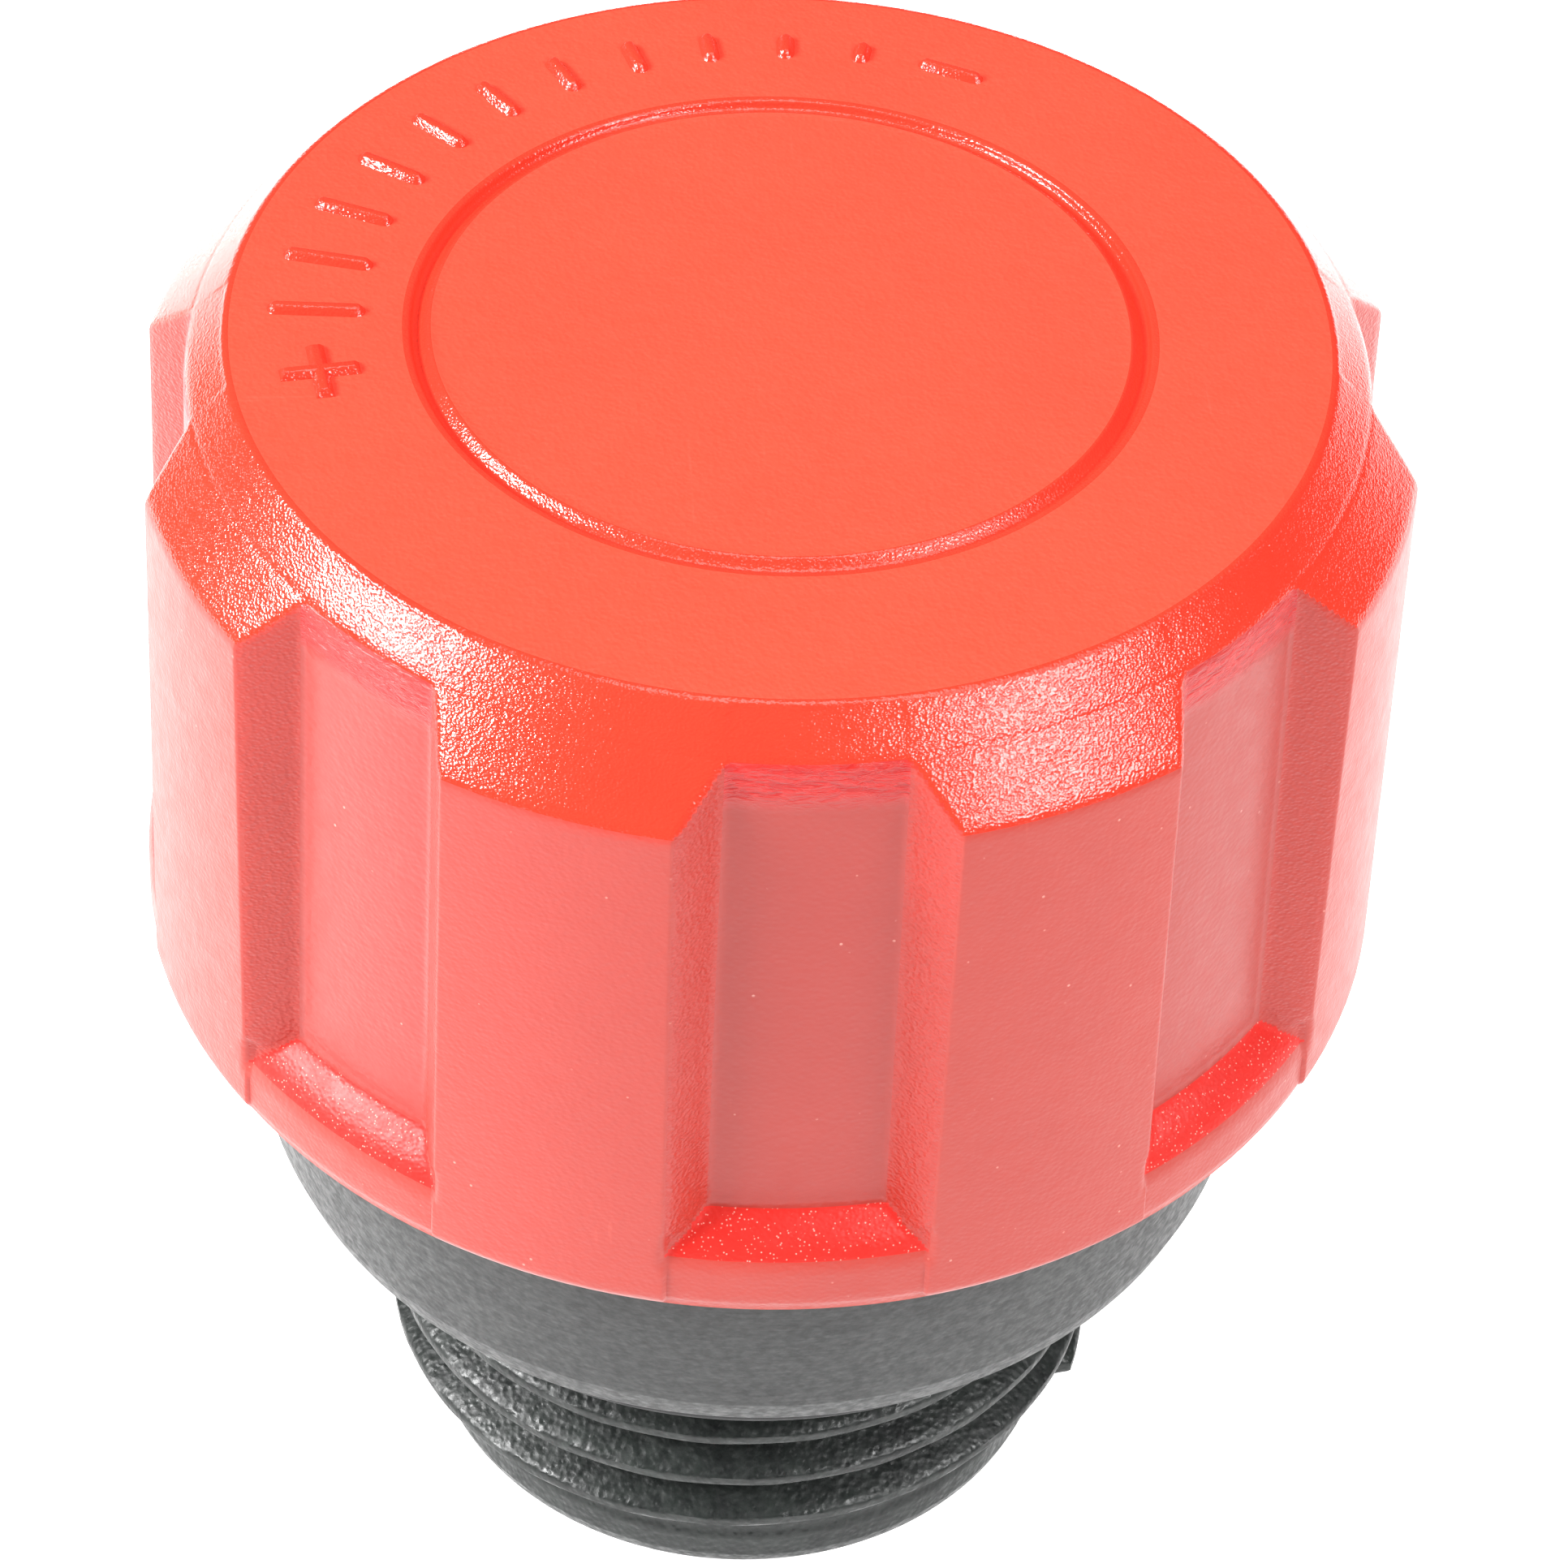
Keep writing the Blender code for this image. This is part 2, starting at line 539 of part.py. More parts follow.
# ----------------------------------------------------------------------- main
def main():
    clear_scene()
    mats = {
        "black_pp": material("black_pp", (0.045, 0.047, 0.047), 0.48),
        "red_pp": material("red_pp", (0.86, 0.075, 0.030), 0.42),
        "natural_pom": material("natural_pom", (0.80, 0.79, 0.73), 0.38),
        "grey_pom": material("grey_pom", (0.32, 0.33, 0.34), 0.40),
        "epdm": material("epdm", (0.020, 0.020, 0.021), 0.72),
        "silicone": material("silicone", (0.72, 0.70, 0.66), 0.55),
        "steel": material("steel", (0.60, 0.60, 0.59), 0.30, 1.0),
        "brass": material("brass", (0.78, 0.58, 0.25), 0.30, 1.0),
        "bronze_ptfe": material("bronze_ptfe", (0.42, 0.34, 0.24), 0.55, 0.4),
    }
    root = empty("emitter_axis")
    lift = empty("plunger_lift_axis", root)
    turn = empty("cap_turn_axis", lift)
    make_body(root, mats)
    make_thread_gasket(root, mats)
    make_strainer(root, mats)
    make_regulator(root, mats)
    make_neck_pieces(root, mats)
    make_plunger(lift, mats)
    make_cap(turn, mats)


main()
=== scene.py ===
import math

import bmesh
import bpy
import numpy as np
from mathutils import Matrix, Vector


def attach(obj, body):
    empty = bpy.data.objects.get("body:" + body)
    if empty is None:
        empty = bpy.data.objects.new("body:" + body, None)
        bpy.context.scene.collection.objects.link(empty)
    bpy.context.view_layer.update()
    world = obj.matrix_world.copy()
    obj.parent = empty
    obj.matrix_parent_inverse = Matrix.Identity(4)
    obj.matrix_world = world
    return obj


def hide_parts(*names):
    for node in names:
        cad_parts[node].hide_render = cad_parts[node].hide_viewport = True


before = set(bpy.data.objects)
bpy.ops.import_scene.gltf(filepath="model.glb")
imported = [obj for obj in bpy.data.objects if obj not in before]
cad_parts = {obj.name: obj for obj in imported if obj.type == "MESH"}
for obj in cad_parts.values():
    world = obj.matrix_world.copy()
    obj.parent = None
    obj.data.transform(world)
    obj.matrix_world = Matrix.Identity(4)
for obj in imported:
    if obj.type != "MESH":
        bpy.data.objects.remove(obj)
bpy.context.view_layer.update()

MM = 0.001
TAU = 2.0 * math.pi


# =============================================================== mesh helpers
def smoothstep(x, a, b):
    t = np.clip((x - a) / (b - a), 0.0, 1.0)
    return t * t * (3.0 - 2.0 * t)


def smin(a, b, k):
    h = np.clip(k - np.abs(a - b), 0.0, None) / k
    return np.minimum(a, b) - h * h * k * 0.25


def smax(a, b, k):
    return -smin(-a, -b, k)


def fillet(profile, arc=4):
    """Round a closed (r, z, radius) profile.  A radius of 0 keeps the corner."""
    out = []
    n = len(profile)
    for i in range(n):
        r, z, rad = profile[i]
        p = np.array([r, z], float)
        a = np.array(profile[i - 1][:2], float)
        b = np.array(profile[(i + 1) % n][:2], float)
        u, v = a - p, b - p
        lu, lv = np.linalg.norm(u), np.linalg.norm(v)
        if rad <= 0 or r == 0.0 or lu < 1e-9 or lv < 1e-9:
            out.append((r, z))
            continue
        u, v = u / lu, v / lv
        ang = math.acos(float(np.clip(u @ v, -1, 1)))
        cut = min(rad / math.tan(ang / 2), 0.45 * lu, 0.45 * lv)
        rad = cut * math.tan(ang / 2)
        bis = (u + v) / max(1e-9, np.linalg.norm(u + v))
        c = p + bis * (rad / math.sin(ang / 2))
        s, e = p + u * cut, p + v * cut
        a0 = math.atan2(*(s - c)[::-1])
        a1 = math.atan2(*(e - c)[::-1])
        d = (a1 - a0 + math.pi) % TAU - math.pi
        for k in range(arc + 1):
            t = a0 + d * k / arc
            out.append((float(c[0] + rad * math.cos(t)), float(c[1] + rad * math.sin(t))))
    return out


def new_object(name, mesh, mats, smooth_angle=None):
    for m in mats:
        mesh.materials.append(m)
    obj = bpy.data.objects.new(name, mesh)
    bpy.context.scene.collection.objects.link(obj)
    mesh.shade_smooth()
    if smooth_angle is not None:
        mesh.set_sharp_from_angle(angle=math.radians(smooth_angle))
    return obj


def grid_mesh(name, pts, closed_rows=False, pole_first=False, pole_last=False, face_mat=None):
    """pts: rows x columns x 3 in mm; the columns close on themselves."""
    rows, cols, _ = pts.shape
    verts = pts.reshape(-1, 3)
    idx = np.arange(rows * cols).reshape(rows, cols)
    if pole_first:
        idx[0, :] = idx[0, 0]
    if pole_last:
        idx[-1, :] = idx[-1, 0]
    a = idx if closed_rows else idx[:-1]
    b = np.roll(idx, -1, axis=0) if closed_rows else idx[1:]
    quads = np.stack([a, np.roll(a, -1, axis=1), np.roll(b, -1, axis=1), b], axis=-1).reshape(-1, 4)
    faces = []
    for q in quads.tolist():
        f = [q[0]]
        for i in q[1:]:
            if i != f[-1] and i != f[0]:
                f.append(i)
        faces.append(f)
    mesh = bpy.data.meshes.new(name)
    mesh.from_pydata((verts * MM).tolist(), [], faces)
    if pole_first or pole_last:
        bm = bmesh.new()
        bm.from_mesh(mesh)
        loose = [v for v in bm.verts if not v.link_faces]
        bmesh.ops.delete(bm, geom=loose, context="VERTS")
        bm.to_mesh(mesh)
        bm.free()
    if face_mat is not None:
        mesh.polygons.foreach_set("material_index", np.asarray(face_mat, dtype=np.int32).reshape(-1))
    mesh.update()
    flip_if_inside_out(mesh)
    return mesh


def flip_if_inside_out(mesh):
    mesh.calc_loop_triangles()
    n = len(mesh.loop_triangles)
    tri = np.empty(n * 3, np.int32)
    mesh.loop_triangles.foreach_get("vertices", tri)
    co = np.empty(len(mesh.vertices) * 3, np.float32)
    mesh.vertices.foreach_get("co", co)
    p = co.reshape(-1, 3)[tri.reshape(-1, 3)].astype(np.float64)
    vol = np.einsum("ij,ij->i", p[:, 0], np.cross(p[:, 1], p[:, 2])).sum()
    if vol < 0:
        mesh.flip_normals()


def turned(name, profile, steps, mats, arc=4, poles=(False, False), angle=None):
    """A filleted (r, z, radius) profile spun about Z."""
    pts2 = np.array(fillet(profile, arc))
    ang = np.arange(steps) / steps * TAU
    pts = np.stack([pts2[:, None, 0] * np.cos(ang), pts2[:, None, 0] * np.sin(ang),
                    np.repeat(pts2[:, 1:], steps, axis=1)], axis=-1)
    closed = not (poles[0] or poles[1])
    mesh = grid_mesh(name, pts, closed_rows=closed, pole_first=poles[0], pole_last=poles[1])
    return new_object(name, mesh, mats, angle)


def loft_bm(bm, sections, ring=False):
    rows = [[bm.verts.new(tuple(c * MM for c in p)) for p in s] for s in sections]
    n = len(rows[0])
    faces = []
    for i in range(len(rows) if ring else len(rows) - 1):
        a, b = rows[i], rows[(i + 1) % len(rows)]
        for k in range(n):
            m = (k + 1) % n
            faces.append(bm.faces.new((a[k], a[m], b[m], b[k])))
    if not ring:
        faces.append(bm.faces.new(list(reversed(rows[0]))))
        faces.append(bm.faces.new(rows[-1]))
    bmesh.ops.recalc_face_normals(bm, faces=faces)


def loft(name, sections, mats, ring=False, angle=40.0):
    bm = bmesh.new()
    loft_bm(bm, sections, ring)
    mesh = bpy.data.meshes.new(name)
    bm.to_mesh(mesh)
    bm.free()
    flip_if_inside_out(mesh)
    return new_object(name, mesh, mats, angle)


def polar(r, deg, z=0.0):
    a = math.radians(deg)
    return (r * math.cos(a), r * math.sin(a), z)


def box_sections(x0, x1, y0, y1, z0, z1, deg):
    c, s = math.cos(math.radians(deg)), math.sin(math.radians(deg))
    return [[(x * c - y * s, x * s + y * c, z) for x, y in ((x0, y0), (x1, y0), (x1, y1), (x0, y1))]
            for z in (z0, z1)]


def tool_object(section_sets):
    bm = bmesh.new()
    for sections in section_sets:
        loft_bm(bm, sections)
    mesh = bpy.data.meshes.new("tool")
    bm.to_mesh(mesh)
    bm.free()
    obj = bpy.data.objects.new("tool", mesh)
    bpy.context.scene.collection.objects.link(obj)
    return obj


def apply_modifiers(obj):
    bpy.context.view_layer.update()
    deps = bpy.context.evaluated_depsgraph_get()
    mesh = bpy.data.meshes.new_from_object(obj.evaluated_get(deps), preserve_all_data_layers=True, depsgraph=deps)
    old = obj.data
    obj.modifiers.clear()
    obj.data = mesh
    bpy.data.meshes.remove(old)


def combine(obj, section_sets, operation, bevel=0.0):
    """Union or cut with closed lofts, then soften the new edges."""
    other = tool_object(section_sets)
    mod = obj.modifiers.new("bool", "BOOLEAN")
    mod.operation = operation
    mod.solver = "EXACT"
    mod.object = other
    if bevel:
        soften(obj, bevel)
    apply_modifiers(obj)
    bpy.data.objects.remove(other, do_unlink=True)


def soften(obj, width_mm, segments=2, angle=35.0):
    mod = obj.modifiers.new("bevel", "BEVEL")
    mod.width = width_mm * MM
    mod.segments = segments
    mod.limit_method = "ANGLE"
    mod.angle_limit = math.radians(angle)
    mod.harden_normals = False
    return mod


# ================================================================== materials
class Nodes:
    def __init__(self, name):
        self.mat = bpy.data.materials.new(name)
        self.mat.use_nodes = True
        self.nt = self.mat.node_tree
        self.bsdf = self.nt.nodes["Principled BSDF"]
        self.coord = self.nt.nodes.new("ShaderNodeTexCoord").outputs["Object"]

    def link(self, a, b):
        self.nt.links.new(a, b)

    def scaled(self, sx, sy, sz):
        m = self.nt.nodes.new("ShaderNodeMapping")
        m.inputs["Scale"].default_value = (sx, sy, sz)
        self.link(self.coord, m.inputs["Vector"])
        return m.outputs["Vector"]

    def noise(self, scale, detail=3.0, rough=0.55, vector=None, distortion=0.0):
        n = self.nt.nodes.new("ShaderNodeTexNoise")
        n.inputs["Scale"].default_value = scale
        n.inputs["Detail"].default_value = detail
        n.inputs["Roughness"].default_value = rough
        n.inputs["Distortion"].default_value = distortion
        self.link(vector or self.coord, n.inputs["Vector"])
        return n.outputs["Fac"]

    def cells(self, scale, feature="SMOOTH_F1", smooth=0.6, vector=None):
        n = self.nt.nodes.new("ShaderNodeTexVoronoi")
        n.feature = feature
        n.inputs["Scale"].default_value = scale
        if feature == "SMOOTH_F1":
            n.inputs["Smoothness"].default_value = smooth
        self.link(vector or self.coord, n.inputs["Vector"])
        return n.outputs["Distance"]

    def remap(self, value, a, b, c=0.0, d=1.0, smooth=False):
        n = self.nt.nodes.new("ShaderNodeMapRange")
        if smooth:
            n.interpolation_type = "SMOOTHSTEP"
        for key, v in (("From Min", a), ("From Max", b), ("To Min", c), ("To Max", d)):
            n.inputs[key].default_value = v
        self.link(value, n.inputs["Value"])
        return n.outputs["Result"]

    def math(self, op, a, b=None):
        n = self.nt.nodes.new("ShaderNodeMath")
        n.operation = op
        for i, v in enumerate((a, b)):
            if v is None:
                continue
            if isinstance(v, (int, float)):
                n.inputs[i].default_value = v
            else:
                self.link(v, n.inputs[i])
        return n.outputs[0]

    def mix(self, fac, a, b):
        n = self.nt.nodes.new("ShaderNodeMix")
        n.data_type = "RGBA"
        n.inputs[0].default_value = 0.0
        if isinstance(fac, (int, float)):
            n.inputs[0].default_value = fac
        else:
            self.link(fac, n.inputs[0])
        for i, v in ((6, a), (7, b)):
            if isinstance(v, tuple):
                n.inputs[i].default_value = (*v, 1.0)
            else:
                self.link(v, n.inputs[i])
        return n.outputs[2]

    def axis(self, which):
        n = self.nt.nodes.new("ShaderNodeSeparateXYZ")
        self.link(self.coord, n.inputs[0])
        return n.outputs[which]

    def bump(self, height, distance, normal=None, strength=1.0):
        n = self.nt.nodes.new("ShaderNodeBump")
        n.inputs["Distance"].default_value = distance
        n.inputs["Strength"].default_value = strength
        self.link(height, n.inputs["Height"])
        if normal is not None:
            self.link(normal, n.inputs["Normal"])
        return n.outputs["Normal"]

    def scuffs(self, amount, scale=3200.0):
        """Sparse hairline rubs, as a 0..amount mask."""
        a = self.noise(scale, 2.0, 0.5, vector=self.scaled(1.0, 0.05, 0.12))
        b = self.noise(scale, 2.0, 0.5, vector=self.scaled(0.05, 1.0, 0.10))
        where = self.remap(self.noise(170.0, 2.0), 0.50, 0.64, 0.0, 1.0, smooth=True)
        lines = self.remap(self.math("MAXIMUM", a, b), 0.715, 0.76, 0.0, amount, smooth=True)
        return self.math("MULTIPLY", lines, where)

    def set(self, **values):
        for key, v in values.items():
            self.bsdf.inputs[key.replace("_", " ")].default_value = v


def red_plastic(name, colour, dark, rough, rough_var, grain_scale, grain_um, fine_um, ior=1.50,
                painted_glints=0.0, wrinkle=False, sss=0.06, sheen=0.0, dots=(2300.0, 0.05, 0.13, 0.60)):
    n = Nodes(name)
    cloud = n.noise(420.0, 4.0, 0.6)
    drift = n.noise(90.0, 2.0, 0.5)
    tone = n.math("ADD", n.math("MULTIPLY", cloud, 0.45), n.math("MULTIPLY", drift, 0.55))
    base = n.mix(n.remap(tone, 0.34, 0.66), dark, colour)
    pebble = n.cells(grain_scale, smooth=0.55, vector=n.scaled(1.0, 1.0, 1.3))
    patch = n.noise(grain_scale * 0.45, 2.0, 0.5)
    height = n.math("ADD", pebble, n.math("MULTIPLY", patch, 0.9))
    # Painted glints: scattered pinkish-white dots mixed into the base colour stand in for the sparkle of the grain.
    if painted_glints:
        spots = n.cells(dots[0], "F1")
        small = n.remap(spots, dots[1], dots[2], 1.0, 0.0, smooth=True)
        keep = n.remap(n.noise(dots[0] * 0.48, 1.0), dots[3], dots[3] + 0.06, 0.0, 1.0)
        base = n.mix(n.math("MULTIPLY", n.math("MULTIPLY", small, keep), painted_glints), base, (1.0, 0.62, 0.52))
    base = n.mix(n.scuffs(0.05), base, (1.0, 0.26, 0.18))
    if wrinkle:
        band = n.math("MULTIPLY",
                      n.remap(n.axis(2), 0.03665, 0.03745, 0.0, 1.0, smooth=True),
                      n.remap(n.axis(2), 0.03800, 0.03830, 1.0, 0.5, smooth=True))
        wr = n.noise(3300.0, 3.0, 0.6, vector=n.scaled(0.5, 0.5, 1.9), distortion=0.6)
        base = n.mix(n.math("MULTIPLY", band, 0.85), base, (0.62, 0.010, 0.008))
        # Painted shade: the creases of the wrinkles, where wr is low and the bump below sinks, are coloured darker red.
        base = n.mix(n.math("MULTIPLY", n.remap(wr, 0.52, 0.42, 0.0, 0.9), band), base, (0.48, 0.004, 0.004))
    n.link(base, n.bsdf.inputs["Base Color"])
    r = n.remap(n.noise(grain_scale * 0.25, 3.0, 0.6), 0.3, 0.7, rough - rough_var, rough + rough_var)
    n.link(r, n.bsdf.inputs["Roughness"])
    fine = n.bump(n.noise(21000.0, 2.0, 0.5), fine_um * 1e-6)
    nrm = n.bump(height, grain_um * 1e-6, fine)
    if wrinkle:
        nrm = n.bump(n.math("MULTIPLY", wr, band), 125e-6, nrm)
    n.link(nrm, n.bsdf.inputs["Normal"])
    n.set(IOR=ior, Subsurface_Weight=sss, Subsurface_Scale=0.0012,
          Subsurface_Radius=(1.0, 0.25, 0.12), Sheen_Weight=sheen, Sheen_Roughness=0.35)
    return n.mat


def black_plastic(name, base, light, rough, mottle=0.0, streak=0.0, grain_um=4.0, ior=1.50):
    n = Nodes(name)
    cloud = n.noise(480.0, 5.0, 0.62)
    swirl = n.noise(2400.0, 4.0, 0.6, vector=n.scaled(1.0, 1.0, 2.2 if streak else 1.0), distortion=0.4)
    tone = n.math("ADD", n.math("MULTIPLY", cloud, 0.5), n.math("MULTIPLY", swirl, 0.5))
    col = n.mix(n.remap(tone, 0.36, 0.66), base, light)
    col = n.mix(n.scuffs(0.30), col, tuple(min(1.0, c * 2.2) for c in light))
    n.link(col, n.bsdf.inputs["Base Color"])
    blotch = n.noise(3200.0, 3.0, 0.6)
    rr = n.remap(blotch, 0.38, 0.62, rough - 0.06 - mottle, rough + 0.06 + mottle)
    n.link(rr, n.bsdf.inputs["Roughness"])
    fine = n.bump(n.noise(16000.0, 2.0, 0.5), 1.6e-6)
    h = n.math("ADD", n.cells(5200.0, smooth=0.7), n.noise(2600.0, 3.0, 0.55))
    nrm = n.bump(h, grain_um * 1e-6, fine)
    if streak:
        lay = n.noise(1400.0, 2.0, 0.5, vector=n.scaled(0.25, 0.25, 5.0))
        nrm = n.bump(lay, streak * 1e-6, nrm)
    n.link(nrm, n.bsdf.inputs["Normal"])
    n.set(IOR=ior)
    return n.mat


def soft_rubber(name, base, light, rough, sss=0.0):
    n = Nodes(name)
    col = n.mix(n.remap(n.noise(600.0, 4.0, 0.6), 0.35, 0.65), base, light)
    dust = n.remap(n.noise(3800.0, 2.0, 0.5), 0.66, 0.74, 0.0, 0.35, smooth=True)
    col = n.mix(dust, col, tuple(min(1.0, c * 1.8 + 0.03) for c in light))
    n.link(col, n.bsdf.inputs["Base Color"])
    n.link(n.remap(n.noise(1800.0, 3.0), 0.3, 0.7, rough - 0.08, rough + 0.08), n.bsdf.inputs["Roughness"])
    h = n.math("ADD", n.noise(9000.0, 2.0), n.cells(3600.0, smooth=0.8))
    n.link(n.bump(h, 5e-6), n.bsdf.inputs["Normal"])
    n.set(IOR=1.45, Subsurface_Weight=sss, Subsurface_Scale=0.0015, Subsurface_Radius=(1.0, 0.8, 0.6))
    return n.mat


def pale_plastic(name, base, light, rough, sss=0.12):
    n = Nodes(name)
    col = n.mix(n.remap(n.noise(300.0, 4.0, 0.6), 0.35, 0.65), base, light)
    col = n.mix(n.scuffs(0.35), col, tuple(c * 0.72 for c in light))
    n.link(col, n.bsdf.inputs["Base Color"])
    n.link(n.remap(n.noise(1200.0, 3.0), 0.3, 0.7, rough - 0.07, rough + 0.07), n.bsdf.inputs["Roughness"])
    flow = n.noise(700.0, 3.0, 0.5, vector=n.scaled(1.0, 1.0, 0.3))
    nrm = n.bump(flow, 9e-6, n.bump(n.noise(12000.0, 2.0), 1.5e-6))
    n.link(nrm, n.bsdf.inputs["Normal"])
    n.set(IOR=1.48, Subsurface_Weight=sss, Subsurface_Scale=0.0015, Subsurface_Radius=(1.0, 0.85, 0.6))
    return n.mat


def metal(name, base, light, rough, ring_scale=2600.0, ring_um=1.5):
    n = Nodes(name)
    n.set(Metallic=1.0)
    col = n.mix(n.remap(n.noise(500.0, 4.0, 0.6), 0.35, 0.65), base, light)
    col = n.mix(n.scuffs(0.5), col, tuple(min(1.0, c * 1.25) for c in light))
    n.link(col, n.bsdf.inputs["Base Color"])
    n.link(n.remap(n.noise(2200.0, 3.0), 0.3, 0.7, rough - 0.07, rough + 0.10), n.bsdf.inputs["Roughness"])
    lay = n.noise(ring_scale, 2.0, 0.5, vector=n.scaled(0.12, 0.12, 4.0))
    n.link(n.bump(lay, ring_um * 1e-6, n.bump(n.noise(15000.0, 2.0), 0.8e-6)), n.bsdf.inputs["Normal"])
    return n.mat


# Every roughness range below stays on one side of a value between 0.27 and 0.29. With the denoiser on, a map
# that crosses it prints its contour lines on the surface; with the denoiser off there are none.
RED, DARK_RED = (0.84, 0.042, 0.021), (0.79, 0.036, 0.018)
M_TOP = red_plastic("red_fine_matte", (0.88, 0.061, 0.030), (0.85, 0.055, 0.027), 0.50, 0.04, 7200.0, 15.0, 2.5)
M_COARSE = red_plastic("red_coarse_grain", RED, DARK_RED, 0.15, 0.04, 12600.0, 12.6, 0.7, sss=0.04)
# The ledge, ribs, flute floors and flute walls are the same red plastic as the top and chamfer but take much darker
# base colours: painted shade for the lower light that falls on the sides and into the flutes.
M_LEDGE = red_plastic("red_ledge_grain_painted_shade", (0.66, 0.022, 0.015), (0.62, 0.019, 0.013), 0.40, 0.05, 8200.0, 9.0, 0.9, ior=1.38, sss=0.04, painted_glints=0.5,
                      dots=(8600.0, 0.11, 0.25, 0.38))
M_RIB = red_plastic("red_satin_painted_shade", (0.475, 0.039, 0.024), (0.452, 0.035, 0.022), 0.42, 0.05, 6400.0, 11.0, 2.5, painted_glints=0.35,
                    ior=1.55, sheen=0.20)
M_FLOOR = red_plastic("red_flute_floor_painted_shade", (0.425, 0.034, 0.023), (0.40, 0.030, 0.020), 0.345, 0.055, 5200.0, 11.0, 1.6,
                      painted_glints=0.4, wrinkle=True, ior=1.57, sheen=0.14)
M_WALL = red_plastic("red_flute_wall_painted_shade", (0.48, 0.032, 0.019), (0.45, 0.028, 0.017), 0.34, 0.05, 8200.0, 24.0, 1.8,
                     ior=1.53, sheen=0.08)
M_INNER = red_plastic("red_inside", (0.80, 0.045, 0.020), (0.74, 0.036, 0.016), 0.50, 0.05, 5000.0, 4.0, 1.5)
M_COLLAR = black_plastic("black_collar_satin", (0.021, 0.022, 0.022), (0.042, 0.044, 0.043), 0.44, 0.03, 6.0, 10.0, ior=1.40)
M_THREAD = black_plastic("black_thread_mottled", (0.008, 0.009, 0.009), (0.026, 0.031, 0.028), 0.38, 0.04, 0.0, 24.0, ior=1.45)
M_BLACK_IN = black_plastic("black_inside", (0.030, 0.031, 0.031), (0.048, 0.049, 0.048), 0.50, 0.03, 0.0, 4.0)
M_EPDM = soft_rubber("black_rubber", (0.016, 0.016, 0.017), (0.030, 0.030, 0.031), 0.66)
M_SILICONE = soft_rubber("milky_silicone", (0.66, 0.64, 0.60), (0.76, 0.75, 0.71), 0.48, 0.35)
M_POM = pale_plastic("natural_acetal", (0.74, 0.73, 0.67), (0.83, 0.82, 0.77), 0.36)
M_GREY = pale_plastic("grey_acetal", (0.27, 0.28, 0.29), (0.35, 0.36, 0.37), 0.38, 0.0)
M_STEEL = metal("stainless", (0.55, 0.55, 0.54), (0.66, 0.66, 0.65), 0.36)
M_WIRE = metal("stainless_wire", (0.50, 0.50, 0.49), (0.62, 0.62, 0.61), 0.36, 5200.0, 1.0)
M_BRASS = metal("turned_brass", (0.72, 0.52, 0.22), (0.82, 0.63, 0.30), 0.355, 3400.0, 3.0)
M_BRONZE = metal("lined_bronze", (0.36, 0.28, 0.19), (0.46, 0.37, 0.26), 0.48)


# ======================================================================== cap
CAP_TOP_Z, RIM_R, RIB_R, RIB_TOP_Z = 39.40, 14.55, 17.00, 36.76
SKIRT_R, SKIRT_Z = 17.27, 20.00
FLOOR_TOP = (15.60, 38.27)
FLOOR_END = (16.03, 22.90)
LEAD = 2.0
NECK_RIDGE_Z = 27.60


def cap_columns():
    """Angles across one flute pitch, close together where the walls turn."""
    t = [0.08, 0.17, 0.26, 0.36, 0.46, 0.56, 0.66, 0.75, 0.84, 0.92]
    half = ([0.0, 2.4, 4.6, 6.3, 7.2, 7.65, 7.95, 8.17, 8.38]
            + [8.38 + 3.62 * v for v in t]
            + [12.0, 12.13, 12.28, 12.46, 12.7, 13.1, 14.4, 16.4, 18.5, 20.5])
    left = [-v for v in reversed(half[1:])]
    one = left + half + [22.5]
    return np.array(one), np.array(t)


